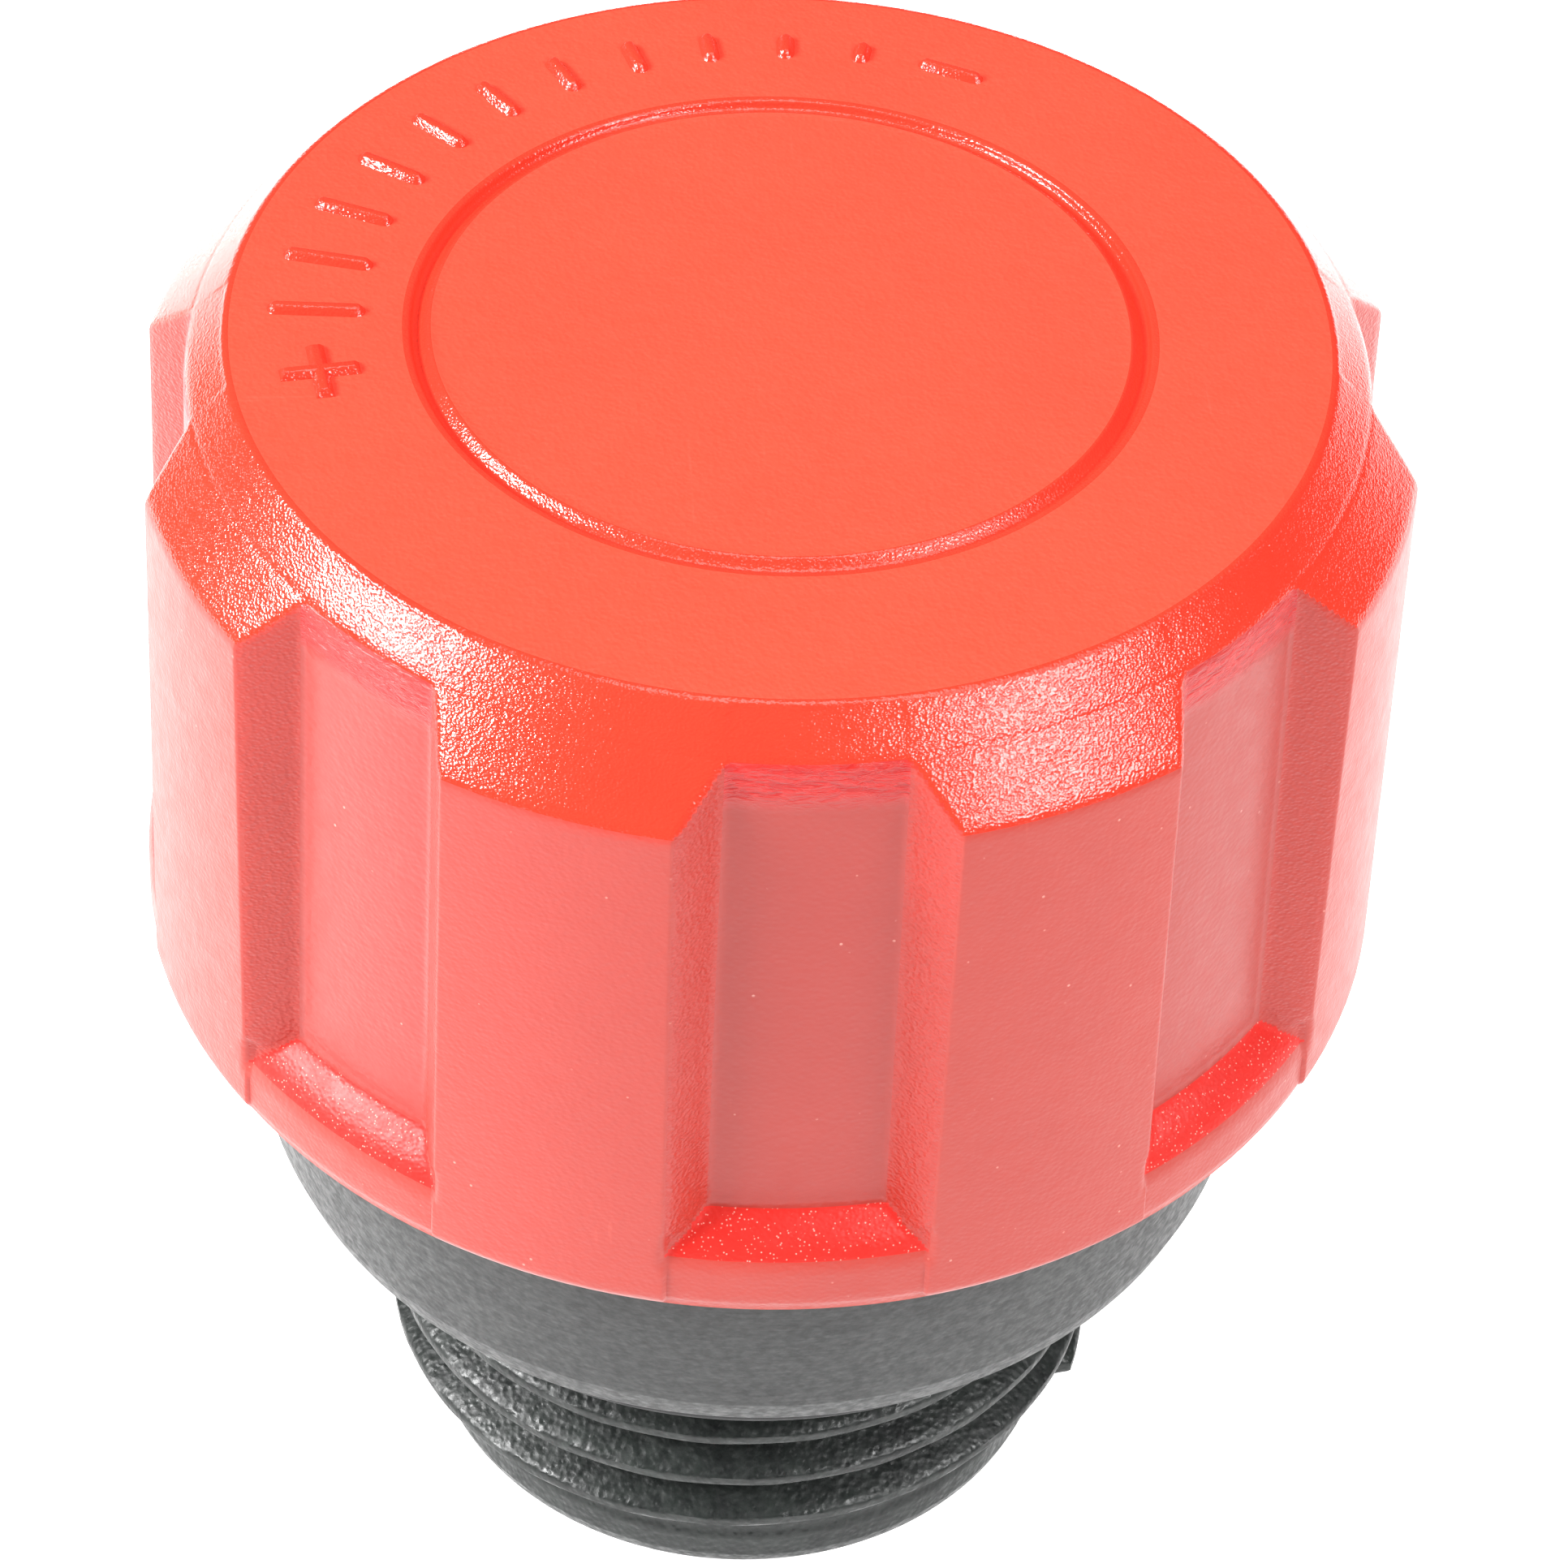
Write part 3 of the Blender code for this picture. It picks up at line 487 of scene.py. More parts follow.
def cap_surface():
    one, tvals = cap_columns()
    n_one = len(one)
    flutes = 8
    u = np.tile(one, flutes)
    centre = np.repeat(-90.0 + 45.0 * np.arange(flutes), n_one)

    rows = []                                  # (r or None, z, zone)
    for r in (0.0, 1.6, 3.4, 5.2, 7.0, 8.3, 8.9, 9.08):
        rows.append((r, CAP_TOP_Z, "top"))
    # channel with rounded lips and a rounded bottom
    for r, dz in ((9.15, -0.014), (9.19, -0.012), (9.23, 0.012), (9.30, 0.075), (9.37, 0.135), (9.44, 0.190), (9.48, 0.214),
                  (9.53, 0.220), (9.60, 0.212), (9.65, 0.170), (9.68, 0.09), (9.71, 0.03), (9.76, 0.004)):
        rows.append((r, CAP_TOP_Z - dz, "channel"))
    for r in (9.9, 10.6, 11.6, 12.6, 13.5, 14.0, 14.22):
        rows.append((r, CAP_TOP_Z, "top"))
    # rim: an arc of 0.55 mm between the top and the chamfer
    slope = math.atan2(CAP_TOP_Z - RIB_TOP_Z, RIB_R - RIM_R)
    rad = 0.32
    tan = rad * math.tan(slope / 2)
    c = (RIM_R - tan, CAP_TOP_Z - rad)
    for k in range(7):
        a = math.pi / 2 - slope * k / 6
        rows.append((c[0] + rad * math.cos(a) - 1e-4 * k, c[1] + rad * math.sin(a), "rim"))
    # from here on the rows are heights
    zs = [39.22, 39.10, 38.98, 38.86, 38.72, 38.60, 38.50, 38.42, 38.36, 38.31]
    zs += [FLOOR_TOP[1] - (FLOOR_TOP[1] - RIB_TOP_Z) * v for v in [0.0, 0.03] + tvals.tolist()]
    zs += [36.84, RIB_TOP_Z, 36.68, 36.58, 36.44, 36.2, 35.7, 34.8, 33.5, 32.0, 30.5, 29.0, 27.5, 26.0, 24.8, 23.9, 23.45]
    zs += list(np.arange(23.25, 21.35, -0.09))
    zs += [21.2, 20.95, 20.65, 20.40, 20.27, 20.20]
    for z in zs:
        rows.append((None, z, "side"))

    pts, zone = [], []
    for r_fixed, z, kind in rows:
        ripple = 0.0
        if r_fixed is not None:
            a = centre + u
            r = np.full_like(u, r_fixed)
            if kind == "rim":
                over_flute = 1.0 - smoothstep(np.abs(u), 8.17, 8.55)
                r = r - 0.035 * over_flute * smoothstep(CAP_TOP_Z - z, 0.02, 0.13)
        else:
            f = np.clip((RIB_TOP_Z - z) / (RIB_TOP_Z - SKIRT_Z), 0.0, 1.0)
            mouth = 12.08 + (11.63 - 12.08) * f
            au = np.abs(u)
            loc = np.where(au <= 8.38, au,
                           np.where(au <= 12.0, 8.38 + (au - 8.38) / 3.62 * (mouth - 8.38),
                                    mouth + (au - 12.0) / 10.5 * (22.5 - mouth)))
            a = centre + np.sign(u) * loc
            chamfer = RIM_R + (CAP_TOP_Z - z) * (RIB_R - RIM_R) / (CAP_TOP_Z - RIB_TOP_Z)
            # over a flute the chamfer lies a hair lower at the rim and is a degree or so flatter
            drop = CAP_TOP_Z - z
            proud = (-0.035 + 0.038 * drop) * (1.0 - smoothstep(au, 8.17, 8.55)) * (drop < 1.6)
            crease = 0.022 * math.exp(-((z - FLOOR_TOP[1] - 0.05) / 0.05) ** 2) * smoothstep(loc, 8.38, 8.7)
            side = RIB_R + (SKIRT_R - RIB_R) * (RIB_TOP_Z - z) / (RIB_TOP_Z - SKIRT_Z)
            side = side - 0.11 * (1.0 - smoothstep(loc, mouth - 0.25, mouth + 0.05)) * (z < 22.6)
            rib = smin(chamfer + proud - crease, side + 0.0 * loc, 0.20)
            floor = FLOOR_TOP[0] + (FLOOR_TOP[1] - z) * (FLOOR_END[0] - FLOOR_TOP[0]) / (FLOOR_TOP[1] - FLOOR_END[1])
            wall = floor + (side + 0.11 * (z < 22.6) - floor) * (loc - 8.38) / (mouth - 8.38)
            wall = np.where(loc > mouth, wall + (loc - mouth) * 0.5, wall)
            g = smax(np.full_like(loc, floor), wall, 0.26)
            ledge = FLOOR_END[0] + (FLOOR_END[1] - z) * 1.18
            g = smax(g, np.full_like(loc, ledge), 0.24)
            r = smin(rib, g, 0.20 + 0.55 * float(smoothstep(np.array(22.9 - z), 0.0, 0.5)))
            if z < 20.5:
                r = r - 0.20 * (1 - math.sqrt(max(0.0, 1 - ((20.40 - z) / 0.25) ** 2))) if z < 20.40 else r
        ar = np.radians(a)
        pts.append(np.stack([r * np.cos(ar), r * np.sin(ar), np.full_like(r, z)], axis=-1))
        zone.append(kind)

    # underside of the skirt and everything inside
    inner = fillet([(SKIRT_R - 0.22, SKIRT_Z, 0.0), (15.70, SKIRT_Z, 0.20), (15.50, 21.55, 0.3), (13.62, 22.40, 0.2),
                    (13.55, 22.80, 0.3), (13.55, 27.9, 0.0)], 3)
    for r, z in inner[:]:
        ar = np.radians(centre + u)
        pts.append(np.stack([r * np.cos(ar), r * np.sin(ar), np.full_like(ar, z)], axis=-1))
        zone.append("inside")
    # female thread, on the same helix as the neck's, half a lead above it
    for z in np.arange(28.05, 34.6, 0.13):
        theta = (centre + u)
        r = np.full_like(theta, 13.55)
        best = np.zeros_like(theta)
        for k in range(0, 4):
            t = ((theta - 144.0) % 360.0) / 360.0 + k
            zc = NECK_RIDGE_Z + LEAD / 2 + 0.4 * LEAD + LEAD * t
            live = (t <= 1.9) * smoothstep(t, 0.0, 0.10) * (1 - smoothstep(t, 1.8, 1.9))
            h = np.clip((0.55 - np.abs(z - zc)) / 0.30, 0.0, 1.0)
            h = h * h * (3 - 2 * h)
            best = np.maximum(best, h * live)
        r = r - 0.80 * best
        ar = np.radians(theta)
        pts.append(np.stack([r * np.cos(ar), r * np.sin(ar), np.full_like(ar, z)], axis=-1))
        zone.append("inside")
    roof = fillet([(13.55, 34.8, 0.0), (13.55, 37.00, 0.5), (6.20, 37.00, 0.5), (6.20, 33.70, 0.25), (3.75, 33.70, 0.25),
                   (3.75, 34.50, 0.08), (4.50, 34.50, 0.1), (4.50, 35.50, 0.1), (3.75, 35.50, 0.08), (3.75, 36.80, 0.3),
                   (0.0, 36.80, 0.0)], 3)
    for r, z in roof:
        ar = np.radians(centre + u)
        pts.append(np.stack([r * np.cos(ar), r * np.sin(ar), np.full_like(ar, z)], axis=-1))
        zone.append("inside")
    return np.array(pts), zone, u, centre


def cap_materials(pts, zone, u):
    """A finish for each face, from where it lies on the flutes; the ribs, flute floors, walls and ledge get darker base
    colours there as painted shade.
    """
    rows, cols, _ = pts.shape
    au = np.abs(0.5 * (u + np.roll(u, -1)))
    au[np.abs(u - np.roll(u, -1)) > 20] = 22.5
    r = np.hypot(pts[..., 0], pts[..., 1])
    out = np.zeros((rows - 1, cols), np.int32)
    for i in range(rows - 1):
        z = 0.5 * (pts[i, 0, 2] + pts[i + 1, 0, 2])
        if zone[i] in ("top",):
            out[i] = 0
        elif zone[i] == "channel":
            out[i] = 1
        elif zone[i] == "rim":
            out[i] = 1
        elif zone[i] == "side":
            rib = np.where(z > RIB_TOP_Z - 0.02, 1, 2)
            rm = 0.5 * (r[i] + r[i + 1])
            chamfer = RIM_R + (CAP_TOP_Z - z) * (RIB_R - RIM_R) / (CAP_TOP_Z - RIB_TOP_Z)
            side = min(chamfer, RIB_R + (SKIRT_R - RIB_R) * (RIB_TOP_Z - z) / (RIB_TOP_Z - SKIRT_Z))
            ledge = FLOOR_END[0] + (FLOOR_END[1] - z) * 1.18
            floor = FLOOR_TOP[0] + (FLOOR_TOP[1] - z) * 0.02798
            m = np.full(cols, rib)
            in_flute = (au < 12.0) & (z < FLOOR_TOP[1]) & (side - rm > 0.05)
            m = np.where(in_flute & (z > 21.95), np.where(au < 8.30, 3, 4), m)
            wall = floor + (side - floor) * np.clip((au - 8.38) / 3.62, 0, 1)
            on_ledge = (au < 12.0) & (z < FLOOR_END[1] + 0.02) & (ledge > wall) & (ledge < side + 0.1)
            m = np.where(on_ledge, 6, m)
            out[i] = m
        else:
            out[i] = 5
    return out


def make_cap():
    pts, zone, u, centre = cap_surface()
    fm = cap_materials(pts, zone, u)
    mesh = grid_mesh("cap", pts, pole_first=True, pole_last=True, face_mat=fm)
    cap = new_object("fluted_cap", mesh, [M_TOP, M_COARSE, M_RIB, M_FLOOR, M_WALL, M_INNER, M_LEDGE], 50.0)
    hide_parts("screw_cap")
    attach(cap, "cap")
    return cap


def stroke_sections(length, width, height, draft=0.095, ends=6):
    """A raised bar with round ends and drafted sides, as stacked outlines."""
    out = []
    for z, inset in ((-0.08, 0.0), (0.0, 0.0), (height * 0.35, draft * 0.55), (height * 0.72, draft * 1.15),
                     (height * 0.93, draft * 1.55), (height, draft * 1.9)):
        w = width / 2 - inset
        half = length / 2 - width / 2
        loop = []
        for k in range(ends + 1):
            a = -math.pi / 2 + math.pi * k / ends
            loop.append((half + w * math.cos(a), w * math.sin(a), z))
        for k in range(ends + 1):
            a = math.pi / 2 + math.pi * k / ends
            loop.append((-half + w * math.cos(a), w * math.sin(a), z))
        out.append(loop)
    return out


def make_scale():
    """Raised flow scale: strokes that grow, between a minus and a plus."""
    scale_r, from_deg, to_deg, strokes, h = 12.15, 66.0, 186.0, 11, 0.198
    bm = bmesh.new()

    def put(sections, deg, turn=0.0):
        c, s = math.cos(math.radians(deg)), math.sin(math.radians(deg))
        ct, st = math.cos(math.radians(turn)), math.sin(math.radians(turn))
        placed = []
        for loop in sections:
            row = []
            for x, y, z in loop:
                x, y = x * ct - y * st, x * st + y * ct
                x += scale_r
                row.append((x * c - y * s, x * s + y * c, CAP_TOP_Z + z))
            placed.append(row)
        loft_bm(bm, placed)

    for k in range(strokes):
        deg = from_deg + (to_deg - from_deg) * (k + 1) / (strokes + 1)
        put(stroke_sections(2 * (0.45 + 0.085 * k), 0.50, h), deg)
    put(stroke_sections(1.9, 0.48, h), from_deg - 2.0, 90.0)
    cross = []
    for z, inset in ((-0.08, 0.0), (0.0, 0.0), (h * 0.35, 0.05), (h * 0.72, 0.10), (h * 0.93, 0.14), (h, 0.175)):
        a, b = 0.24 - inset, 1.05 - inset
        cross.append([(x, y, z) for x, y in ((-a, -b), (a, -b), (a, -a), (b, -a), (b, a), (a, a), (a, b), (-a, b),
                                             (-a, a), (-b, a), (-b, -a), (-a, -a))])
    put(cross, to_deg + 2.0)
    mesh = bpy.data.meshes.new("flow_scale")
    bm.to_mesh(mesh)
    bm.free()
    obj = new_object("raised_flow_scale", mesh, [M_COARSE], 30.0)
    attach(obj, "cap")


# ======================================================================= body
def thread_height(theta, z, start_deg, z0, pitch, turns, crest_half, base_half, fade_in, fade_out, power=1.0):
    """How far the ridge stands out, 0 to 1, at each direction for one height."""
    best = np.zeros_like(theta)
    for k in range(int(turns) + 2):
        t = ((theta - start_deg) % 360.0) / 360.0 + k
        zc = z0 + pitch * t
        live = (t <= turns) * smoothstep(t, 0.0, fade_in) * (1 - smoothstep(t, turns - fade_out, turns))
        h = np.clip((base_half - np.abs(z - zc)) / (base_half - crest_half), 0.0, 1.0)
        best = np.maximum(best, h * live)
    # rounded roots and crests
    return 0.72 * best + 0.28 * best * best * (3 - 2 * best)


def make_body():
    steps = 216
    theta = np.arange(steps) / steps * 360.0
    ar = np.radians(theta)
    rows, mats = [], []

    def add(r, z, m):
        rr = np.full(steps, float(r)) if np.isscalar(r) else r
        rows.append(np.stack([rr * np.cos(ar), rr * np.sin(ar), np.full(steps, float(z))], axis=-1))
        mats.append(m)

    for r, z in fillet([(7.3, 1.0, 0.0), (7.30, 0.0, 0.25), (9.25, 0.0, 0.22), (9.42, 0.5, 0.2), (9.42, 0.98, 0.0)], 4)[1:-1]:
        add(r, z, 1)
    for z in np.arange(0.98, 11.30, 0.088):
        h = thread_height(theta, z, -23.4, 1.79, 1.814, 4.55, 0.15, 0.78, 0.010, 0.30)
        core = 9.42 if z < 1.25 else (9.32 if z > 1.5 else 9.42 - 0.1 * (z - 1.25) / 0.25)
        add(core + (10.478 - core) * h, z, 1)
    collar = fillet([(9.32, 11.2, 0.0), (9.32, 11.74, 0.25), (13.80, 11.74, 0.30), (14.18, 12.76, 0.35), (14.72, 16.2, 2.0),
                     (15.10, 19.2, 0.5), (14.60, 19.70, 0.3), (12.40, 19.70, 0.3), (12.40, 23.60, 0.12),
                     (11.65, 23.60, 0.15), (11.65, 25.80, 0.15), (12.40, 25.80, 0.12), (12.40, 26.6, 0.0)], 5)[1:]
    for r, z in collar:
        add(r, z, 0 if 11.8 < z < 19.9 and r > 13.0 else (2 if z > 19.9 else (1 if r < 9.7 else 0)))
    for z in np.arange(26.75, 34.25, 0.125):
        h = thread_height(theta, z, 0.0, NECK_RIDGE_Z, LEAD, 2.9, 0.24, 0.52, 0.08, 0.10)
        add(12.40 + 0.82 * h, z, 2)
    inside = fillet([(12.40, 34.3, 0.0), (12.40, 35.0, 0.5), (10.40, 35.0, 0.25), (10.40, 33.1, 0.06), (11.20, 33.1, 0.08),
                     (11.20, 32.1, 0.08), (10.40, 32.1, 0.06), (10.40, 17.5, 0.4), (6.30, 17.5, 0.15),
                     (6.30, 16.6, 0.08), (7.30, 16.6, 0.1), (7.30, 1.70, 0.06), (7.90, 1.70, 0.08), (7.90, 0.60, 0.08),
                     (7.30, 0.60, 0.06), (7.30, 0.35, 0.0)], 3)[1:]
    for r, z in inside:
        add(r, z, 2 if z > 3 else 1)
    pts = np.array(rows)
    fm = np.repeat(np.array(mats, np.int32)[:, None], steps, axis=1)
    mesh = grid_mesh("body", pts, closed_rows=True, face_mat=fm)
    body = new_object("threaded_collar_body", mesh, [M_COLLAR, M_THREAD, M_BLACK_IN], 48.0)

    ports = []
    for k in range(4):
        deg = 45.0 + 90.0 * k
        uu, vv = Vector(polar(1.0, deg)), Vector(polar(1.0, deg + 90.0))
        ports.append([[tuple(uu * d + vv * (0.9 * math.cos(TAU * i / 28)) + Vector((0, 0, 21.2 + 0.9 * math.sin(TAU * i / 28))))
                       for i in range(28)] for d in (9.2, 13.4)])
    combine(body, ports, "DIFFERENCE")
    combine(body, [box_sections(13.55, 16.5, -1.3, 1.3, 18.70, 20.70, 90.0 * k) for k in range(4)]
            + [box_sections(8.9, 11.3, -1.5, 1.5, 28.90, 36.0, 180.0 * k) for k in range(2)], "DIFFERENCE")
    body.data.set_sharp_from_angle(angle=math.radians(48.0))
    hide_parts("threaded_body")
    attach(body, "body")


# ============================================================== other pieces
def piece(obj, node, body):
    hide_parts(node)
    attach(obj, body)
    return obj


def o_ring(name, centre_r, section_r, z, node, body):
    prof = [(centre_r + section_r * math.cos(TAU * k / 20), z + section_r * math.sin(TAU * k / 20), 0.0) for k in range(20)]
    return piece(turned(name, prof, 144, [M_EPDM]), node, body)


def split_ring(name, r_in, r_out, z0, z1, gap, middle, node, body, holes=False):
    sections = []
    n = 120
    e = 0.10
    for i in range(n + 1):
        deg = middle + gap / 2 + (360.0 - gap) * i / n
        sections.append([polar(r_in + e, deg, z0), polar(r_out - e, deg, z0), polar(r_out, deg, z0 + e),
                         polar(r_out, deg, z1 - e), polar(r_out - e, deg, z1), polar(r_in + e, deg, z1),
                         polar(r_in, deg, z1 - e), polar(r_in, deg, z0 + e)])
    return piece(loft(name, sections, [M_STEEL]), node, body)


def make_inside():
    g = turned("flat_thread_gasket", [(10.62, 10.15, 0.15), (12.65, 10.15, 0.30), (12.65, 11.60, 0.30), (10.62, 11.60, 0.15)],
               144, [M_EPDM])
    piece(g, "thread_gasket", "body")
    split_ring("strainer_snap_ring", 6.25, 7.80, 0.72, 1.58, 22.0, 90.0, "strainer_lock_ring", "body")

    basket = turned("strainer_cup", [(0.0, 8.60, 0.0), (3.70, 8.60, 0.25), (3.70, 1.80, 0.15), (7.10, 1.80, 0.15),
                                     (7.10, 2.80, 0.15), (4.60, 2.80, 0.15), (4.60, 9.60, 0.25), (0.0, 9.60, 0.0)],
                    96, [M_POM], poles=(True, True), angle=45.0)
    combine(basket, [box_sections(2.75, 5.4, -1.15, 1.15, 3.50, 7.90, 60.0 * k) for k in range(6)], "DIFFERENCE", bevel=0.06)
    basket.data.shade_smooth()
    basket.data.set_sharp_from_angle(angle=math.radians(45.0))
    piece(basket, "strainer_basket", "body")

    # Woven wire sleeve: hoops and uprights that pass over and under
    bm = bmesh.new()
    r0, wire, uprights, hoops = 4.84, 0.052, 72, 13
    z_low, z_high = 3.06, 8.54
    for i in range(uprights):
        deg = 360.0 * i / uprights
        sections = []
        for k in range(hoops * 4 + 1):
            t = k / (hoops * 4)
            z = z_low + (z_high - z_low) * t
            r = r0 + 0.05 * math.cos(math.pi * (hoops * t - 0.5 + i))
            sections.append([(polar(r + wire * math.cos(TAU * j / 5), deg, z)[0] - math.sin(math.radians(deg)) * wire * math.sin(TAU * j / 5),
                              polar(r + wire * math.cos(TAU * j / 5), deg, z)[1] + math.cos(math.radians(deg)) * wire * math.sin(TAU * j / 5),
                              z) for j in range(5)])
        loft_bm(bm, sections)
    for h in range(hoops):
        z = z_low + (z_high - z_low) * (h + 0.5) / hoops
        sections = []
        n = uprights * 4
        for i in range(n):
            deg = 360.0 * i / n
            r = r0 - 0.05 * math.cos(math.pi * (uprights * i / n + h))
            sections.append([polar(r + wire * math.cos(TAU * j / 5), deg, z + wire * math.sin(TAU * j / 5)) for j in range(5)])
        loft_bm(bm, sections, ring=True)
    mesh = bpy.data.meshes.new("wire_sleeve")
    bm.to_mesh(mesh)
    bm.free()
    sleeve = new_object("woven_strainer_sleeve", mesh, [M_WIRE])
    piece(sleeve, "strainer_mesh", "body")

    cage = turned("perforated_cage", [(0.0, 9.75, 0.0), (6.95, 9.75, 0.12), (6.95, 12.10, 0.12), (6.45, 12.10, 0.08),
                                      (6.45, 10.60, 0.15), (1.30, 10.60, 0.15), (0.95, 10.85, 0.08), (0.0, 10.85, 0.0)],
                  96, [M_POM], poles=(True, True), angle=45.0)
    holes = []
    for k in range(6):
        x, y, _ = polar(3.95, 30.0 + 60.0 * k)
        holes.append([[(x + 1.15 * math.cos(TAU * i / 24), y + 1.15 * math.sin(TAU * i / 24), z) for i in range(24)]
                      for z in (9.2, 11.4)])
    combine(cage, holes, "DIFFERENCE")
    cage.data.set_sharp_from_angle(angle=math.radians(45.0))
    piece(cage, "diaphragm_cage", "body")

    dia = turned("silicone_diaphragm", [(0.55, 11.20, 0.1), (4.40, 11.20, 0.4), (4.80, 10.95, 0.15), (6.25, 10.95, 0.25),
                                        (6.25, 12.05, 0.25), (5.20, 12.05, 0.25), (4.80, 11.70, 0.15), (0.55, 11.70, 0.1)],
                 120, [M_SILICONE])
    piece(dia, "compensating_diaphragm", "body")

    plate = turned("labyrinth_plate", [(0.0, 12.25, 0.0), (6.95, 12.25, 0.12), (6.95, 14.15, 0.12), (0.0, 14.15, 0.0)],
                   96, [M_POM], poles=(True, True), angle=45.0)
    path = [polar(7.6, 15.0)[:2]]
    for k in range(19):
        path.append(polar(5.85 if k % 2 == 0 else 4.05, 15.0 + 320.0 * k / 18)[:2])
    path.append(polar(0.9, 335.0)[:2])
    combine(plate, [ribbon(path, 0.62, 13.35, 14.8)], "DIFFERENCE")
    combine(plate, [[[(math.cos(TAU * i / 32), math.sin(TAU * i / 32), z) for i in range(32)] for z in (13.0, 14.8)]],
            "DIFFERENCE")
    plate.data.set_sharp_from_angle(angle=math.radians(40.0))
    piece(plate, "labyrinth_disc", "body")

    seat = turned("conical_nozzle_seat", [(1.00, 14.30, 0.1), (7.15, 14.30, 0.12), (7.15, 15.00, 0.06), (6.30, 15.00, 0.06),
                                          (6.30, 16.00, 0.06), (7.15, 16.00, 0.06), (7.15, 16.50, 0.1), (6.15, 16.50, 0.05),
                                          (6.15, 17.35, 0.12), (3.60, 17.35, 0.12), (3.60, 18.00, 0.0), (3.40, 18.20, 0.0),
                                          (2.20, 18.20, 0.05), (1.00, 17.00, 0.2)], 120, [M_BRASS], angle=40.0)
    piece(seat, "nozzle_seat", "body")
    o_ring("nozzle_seal_ring", 6.82, 0.44, 15.50, "nozzle_o_ring", "body")

    flap = turned("silicone_flap_sleeve", [(12.46, 19.85, 0.08), (13.00, 19.85, 0.08), (13.10, 20.10, 0.1), (12.99, 22.60, 0.15),
                                           (12.46, 22.65, 0.08)], 144, [M_SILICONE])
    piece(flap, "outlet_flap_sleeve", "body")
    o_ring("neck_seal_ring", 12.62, 0.84, 24.70, "cap_o_ring", "body")

    bush = turned("keyed_guide_bush", [(0.0, 29.00, 0.0), (10.28, 29.00, 0.28), (10.28, 31.90, 0.15), (0.0, 31.90, 0.0)],
                  120, [M_POM], poles=(True, True), angle=45.0)
    combine(bush, [box_sections(9.0, 11.10, -1.35, 1.35, 29.20, 31.70, 180.0 * k) for k in range(2)], "UNION")
    hexr = 7.90 / math.sqrt(3.0)
    combine(bush, [[[(hexr * math.cos(TAU * i / 6), hexr * math.sin(TAU * i / 6), z) for i in range(6)] for z in (28.0, 33.0)]],
            "DIFFERENCE", bevel=0.08)
    bush.data.shade_smooth()
    bush.data.set_sharp_from_angle(angle=math.radians(45.0))
    piece(bush, "guide_bush", "body")
    split_ring("internal_circlip", 9.00, 11.08, 32.22, 32.98, 40.0, 90.0, "guide_circlip", "body")

    sections = []
    turns, sr, wr = 4.5, 5.30, 0.35
    z0, z1 = 17.45 + wr, 23.52 - wr
    n = int(turns * 64)
    for i in range(n + 1):
        t = i / n
        s = 0.5 - 0.5 * math.cos(math.pi * t)
        z = z0 + (z1 - z0) * (0.35 * s + 0.65 * t)
        deg = 360.0 * turns * t
        sections.append([polar(sr + wr * math.cos(TAU * k / 14), deg, z + wr * math.sin(TAU * k / 14)) for k in range(14)])
    piece(loft("coil_spring", sections, [M_STEEL], angle=50.0), "return_spring", "body")


def ribbon(path, width, z0, z1):
    pts = [Vector(p) for p in path]
    sections = []
    for i, p in enumerate(pts):
        dirs = []
        if i > 0:
            dirs.append((p - pts[i - 1]).normalized())
        if i < len(pts) - 1:
            dirs.append((pts[i + 1] - p).normalized())
        normals = [Vector((-d.y, d.x)) for d in dirs]
        mitre = sum(normals, Vector((0.0, 0.0))).normalized()
        reach = width / 2 / max(0.45, mitre.dot(normals[0]))
        a, b = p + mitre * reach, p - mitre * reach
        sections.append([(a.x, a.y, z0), (b.x, b.y, z0), (b.x, b.y, z1), (a.x, a.y, z1)])
    return sections


def make_plunger():
    plunger = turned("keyed_plunger", [
        (0.0, 23.20, 0.0), (1.30, 23.20, 0.1), (1.30, 20.55, 0.08), (2.60, 20.55, 0.15), (2.60, 23.60, 0.2), (10.2, 23.60, 0.25),
        (10.2, 24.15, 0.06), (8.92, 24.15, 0.1), (8.92, 25.65, 0.1), (10.2, 25.65, 0.06), (10.2, 26.20, 0.2),
        (3.0, 26.20, 0.2), (3.0, 32.5, 0.05), (3.40, 32.5, 0.05), (3.40, 34.60, 0.06), (2.90, 34.60, 0.06), (2.90, 35.40, 0.06),
        (3.40, 35.40, 0.06), (3.40, 35.90, 0.1), (2.90, 36.40, 0.1), (0.0, 36.40, 0.0)], 120, [M_GREY], poles=(True, True),
        angle=45.0)
    hexr = 7.60 / math.sqrt(3.0)
    combine(plunger, [[[(hexr * math.cos(TAU * i / 6), hexr * math.sin(TAU * i / 6), z) for i in range(6)]
                       for z in (26.0, 33.0)]], "UNION")
    plunger.data.set_sharp_from_angle(angle=math.radians(45.0))
    piece(plunger, "metering_plunger", "plunger")
    needle = turned("cone_needle", [(0.0, 15.80, 0.0), (0.40, 15.80, 0.12), (0.84, 16.95, 0.5), (2.05, 18.15, 0.2),
                                    (2.05, 20.40, 0.12), (1.20, 20.40, 0.06), (1.20, 23.00, 0.15), (0.0, 23.00, 0.0)],
                    96, [M_STEEL], poles=(True, True), angle=45.0)
    piece(needle, "metering_needle", "plunger")
    o_ring("plunger_seal_ring", 9.66, 0.66, 24.90, "plunger_o_ring", "plunger")
    w = turned("lined_thrust_washer", [(3.60, 33.12, 0.06), (6.00, 33.12, 0.06), (6.00, 33.58, 0.06), (3.60, 33.58, 0.06)],
               120, [M_BRONZE], angle=45.0)
    piece(w, "thrust_washer", "plunger")
    split_ring("swivel_snap_ring", 3.00, 4.34, 34.66, 35.34, 50.0, -90.0, "swivel_clip", "plunger")


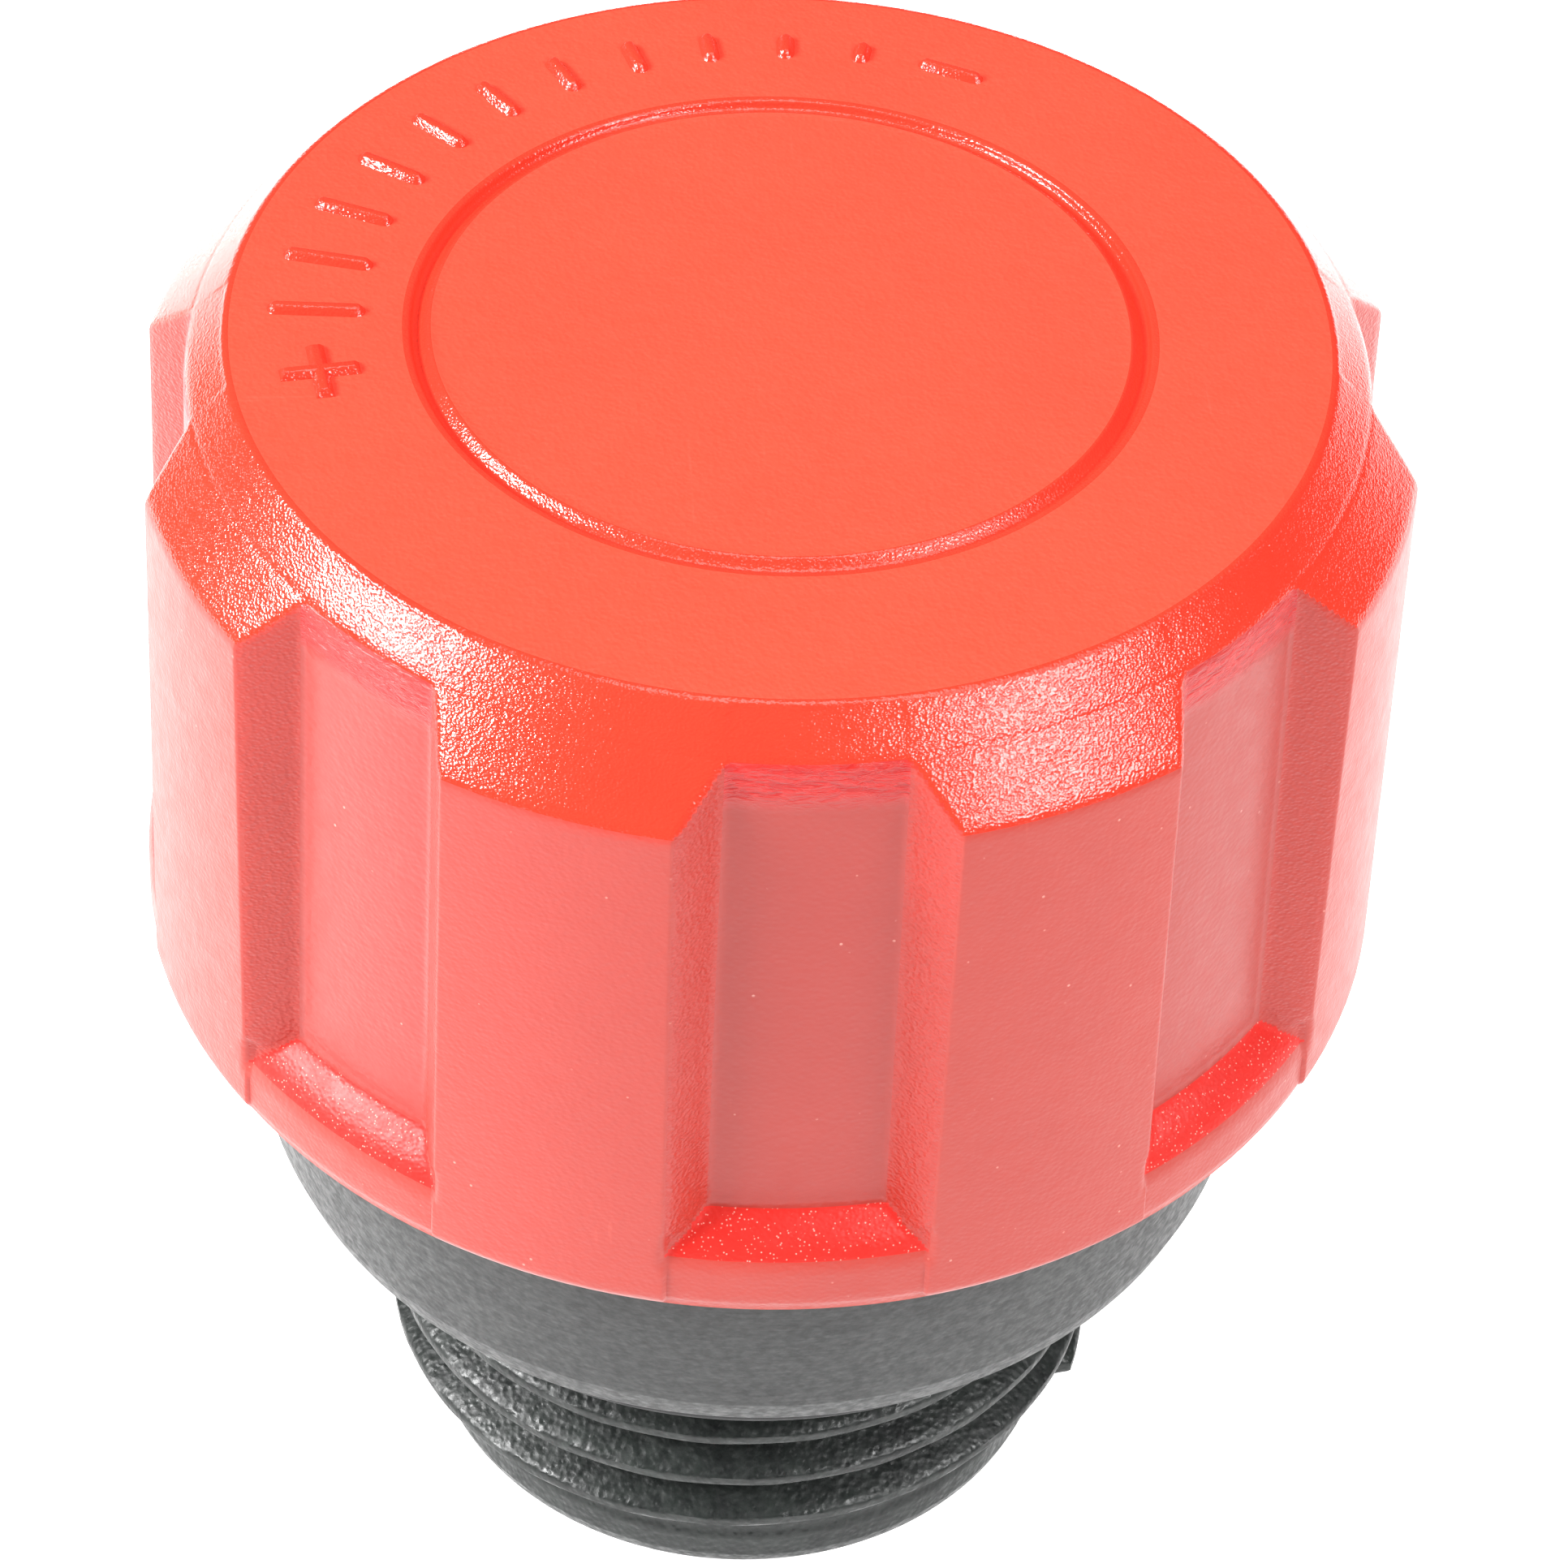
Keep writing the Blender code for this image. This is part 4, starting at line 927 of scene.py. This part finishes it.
# ======================================================= camera, stage, lights
def photo_camera():
    """Rows of the rotation are right, down and forward; lengths are in rib radii
    from the middle of the cap's top face."""
    el, roll, shift_deg = math.radians(43.43), math.radians(2.78), 5.4
    ce, se = math.cos(el), math.sin(el)
    base = np.array([[1, 0, 0], [0, -se, -ce], [0, ce, -se]])
    c, s = math.cos(roll), math.sin(roll)
    rot = np.array([[c, -s, 0], [s, c, 0], [0, 0, 1]]) @ base
    t = np.array([-0.004, -0.705, 9.165]) * RIB_R
    where = -rot.T @ t
    # the flute that faces -Y here is 5.4 degrees round towards +X in that view
    a = math.radians(-shift_deg)
    back = np.array([[math.cos(a), -math.sin(a), 0], [math.sin(a), math.cos(a), 0], [0, 0, 1]])
    where = back @ where + np.array([0, 0, CAP_TOP_Z])
    rot = rot @ back.T
    cam = bpy.data.cameras.new("camera")
    cam.sensor_width = 36.0
    cam.lens = 7345.6 / 1932 * 36.0
    cam.clip_start = 0.005
    cam.clip_end = 20.0
    obj = bpy.data.objects.new("camera", cam)
    m = Matrix.Identity(4)
    for i in range(3):
        m[i][0] = rot[0][i]
        m[i][1] = -rot[1][i]
        m[i][2] = -rot[2][i]
        m[i][3] = where[i] * MM
    obj.matrix_world = m
    bpy.context.scene.collection.objects.link(obj)
    bpy.context.scene.camera = obj


def area(name, az, el, dist, size, power, colour=(1, 1, 1), target=(0, 0, 0.025), spread=math.pi):
    light = bpy.data.lights.new(name, "AREA")
    light.shape = "RECTANGLE"
    light.size, light.size_y = size
    light.energy = power
    light.color = colour
    light.spread = spread
    obj = bpy.data.objects.new(name, light)
    a, e = math.radians(az), math.radians(el)
    pos = Vector(target) + Vector((math.sin(a) * math.cos(e), -math.cos(a) * math.cos(e), math.sin(e))) * dist
    obj.location = pos
    obj.rotation_euler = (Vector(target) - pos).to_track_quat("-Z", "Y").to_euler()
    bpy.context.scene.collection.objects.link(obj)
    return obj


def stage_and_lights():
    n = 48
    pts = []
    for r in (0.0, 0.05, 0.12, 0.3, 0.8, 2.0):
        a = np.arange(n) / n * TAU
        pts.append(np.stack([r / MM * np.cos(a), r / MM * np.sin(a), np.full(n, -0.02)], axis=-1))
    mesh = grid_mesh("floor", np.array(pts), pole_first=True)
    if mesh.polygons[0].normal.z < 0:
        mesh.flip_normals()
    f = Nodes("pale_glowing_floor")
    col = f.mix(f.remap(f.noise(30.0, 3.0), 0.3, 0.7), (0.62, 0.62, 0.62), (0.64, 0.64, 0.64))
    f.link(col, f.bsdf.inputs["Base Color"])
    f.link(f.remap(f.noise(200.0, 3.0), 0.3, 0.7, 0.80, 0.9), f.bsdf.inputs["Roughness"])
    # Painted light: the floor glows, from 0.40 at the front to 1.90 at the back, so it shows no shadow and lights the
    # cap from below and behind.
    f.set(Emission_Color=(1.0, 1.0, 1.0, 1.0))
    f.link(f.remap(f.axis(1), -0.05, 0.05, 0.40, 1.90, smooth=True), f.bsdf.inputs["Emission Strength"])
    floor = new_object("pale_glowing_floor", mesh, [f.mat])

    world = bpy.data.worlds.new("studio")
    bpy.context.scene.world = world
    world.use_nodes = True
    bg = world.node_tree.nodes["Background"]
    bg.inputs["Color"].default_value = (1.0, 1.0, 1.0, 1.0)
    bg.inputs["Strength"].default_value = 0.12

    # two strips low at the sides, a soft top and a wide fill high on the right
    area("strip_left", -85.0, 34.0, 0.55, (0.38, 0.12), 6.6)
    area("strip_right", 48.0, 38.0, 0.55, (0.33, 0.11), 2.4)
    area("softbox_top", 0.0, 89.0, 0.55, (0.30, 0.30), 1.15)
    area("softbox_high_right", 74.6, 62.0, 0.55, (0.30, 0.30), 0.6)


photo_camera()
make_cap()
make_scale()
make_body()
make_inside()
make_plunger()
stage_and_lights()
bpy.context.scene.view_settings.view_transform = "Standard"
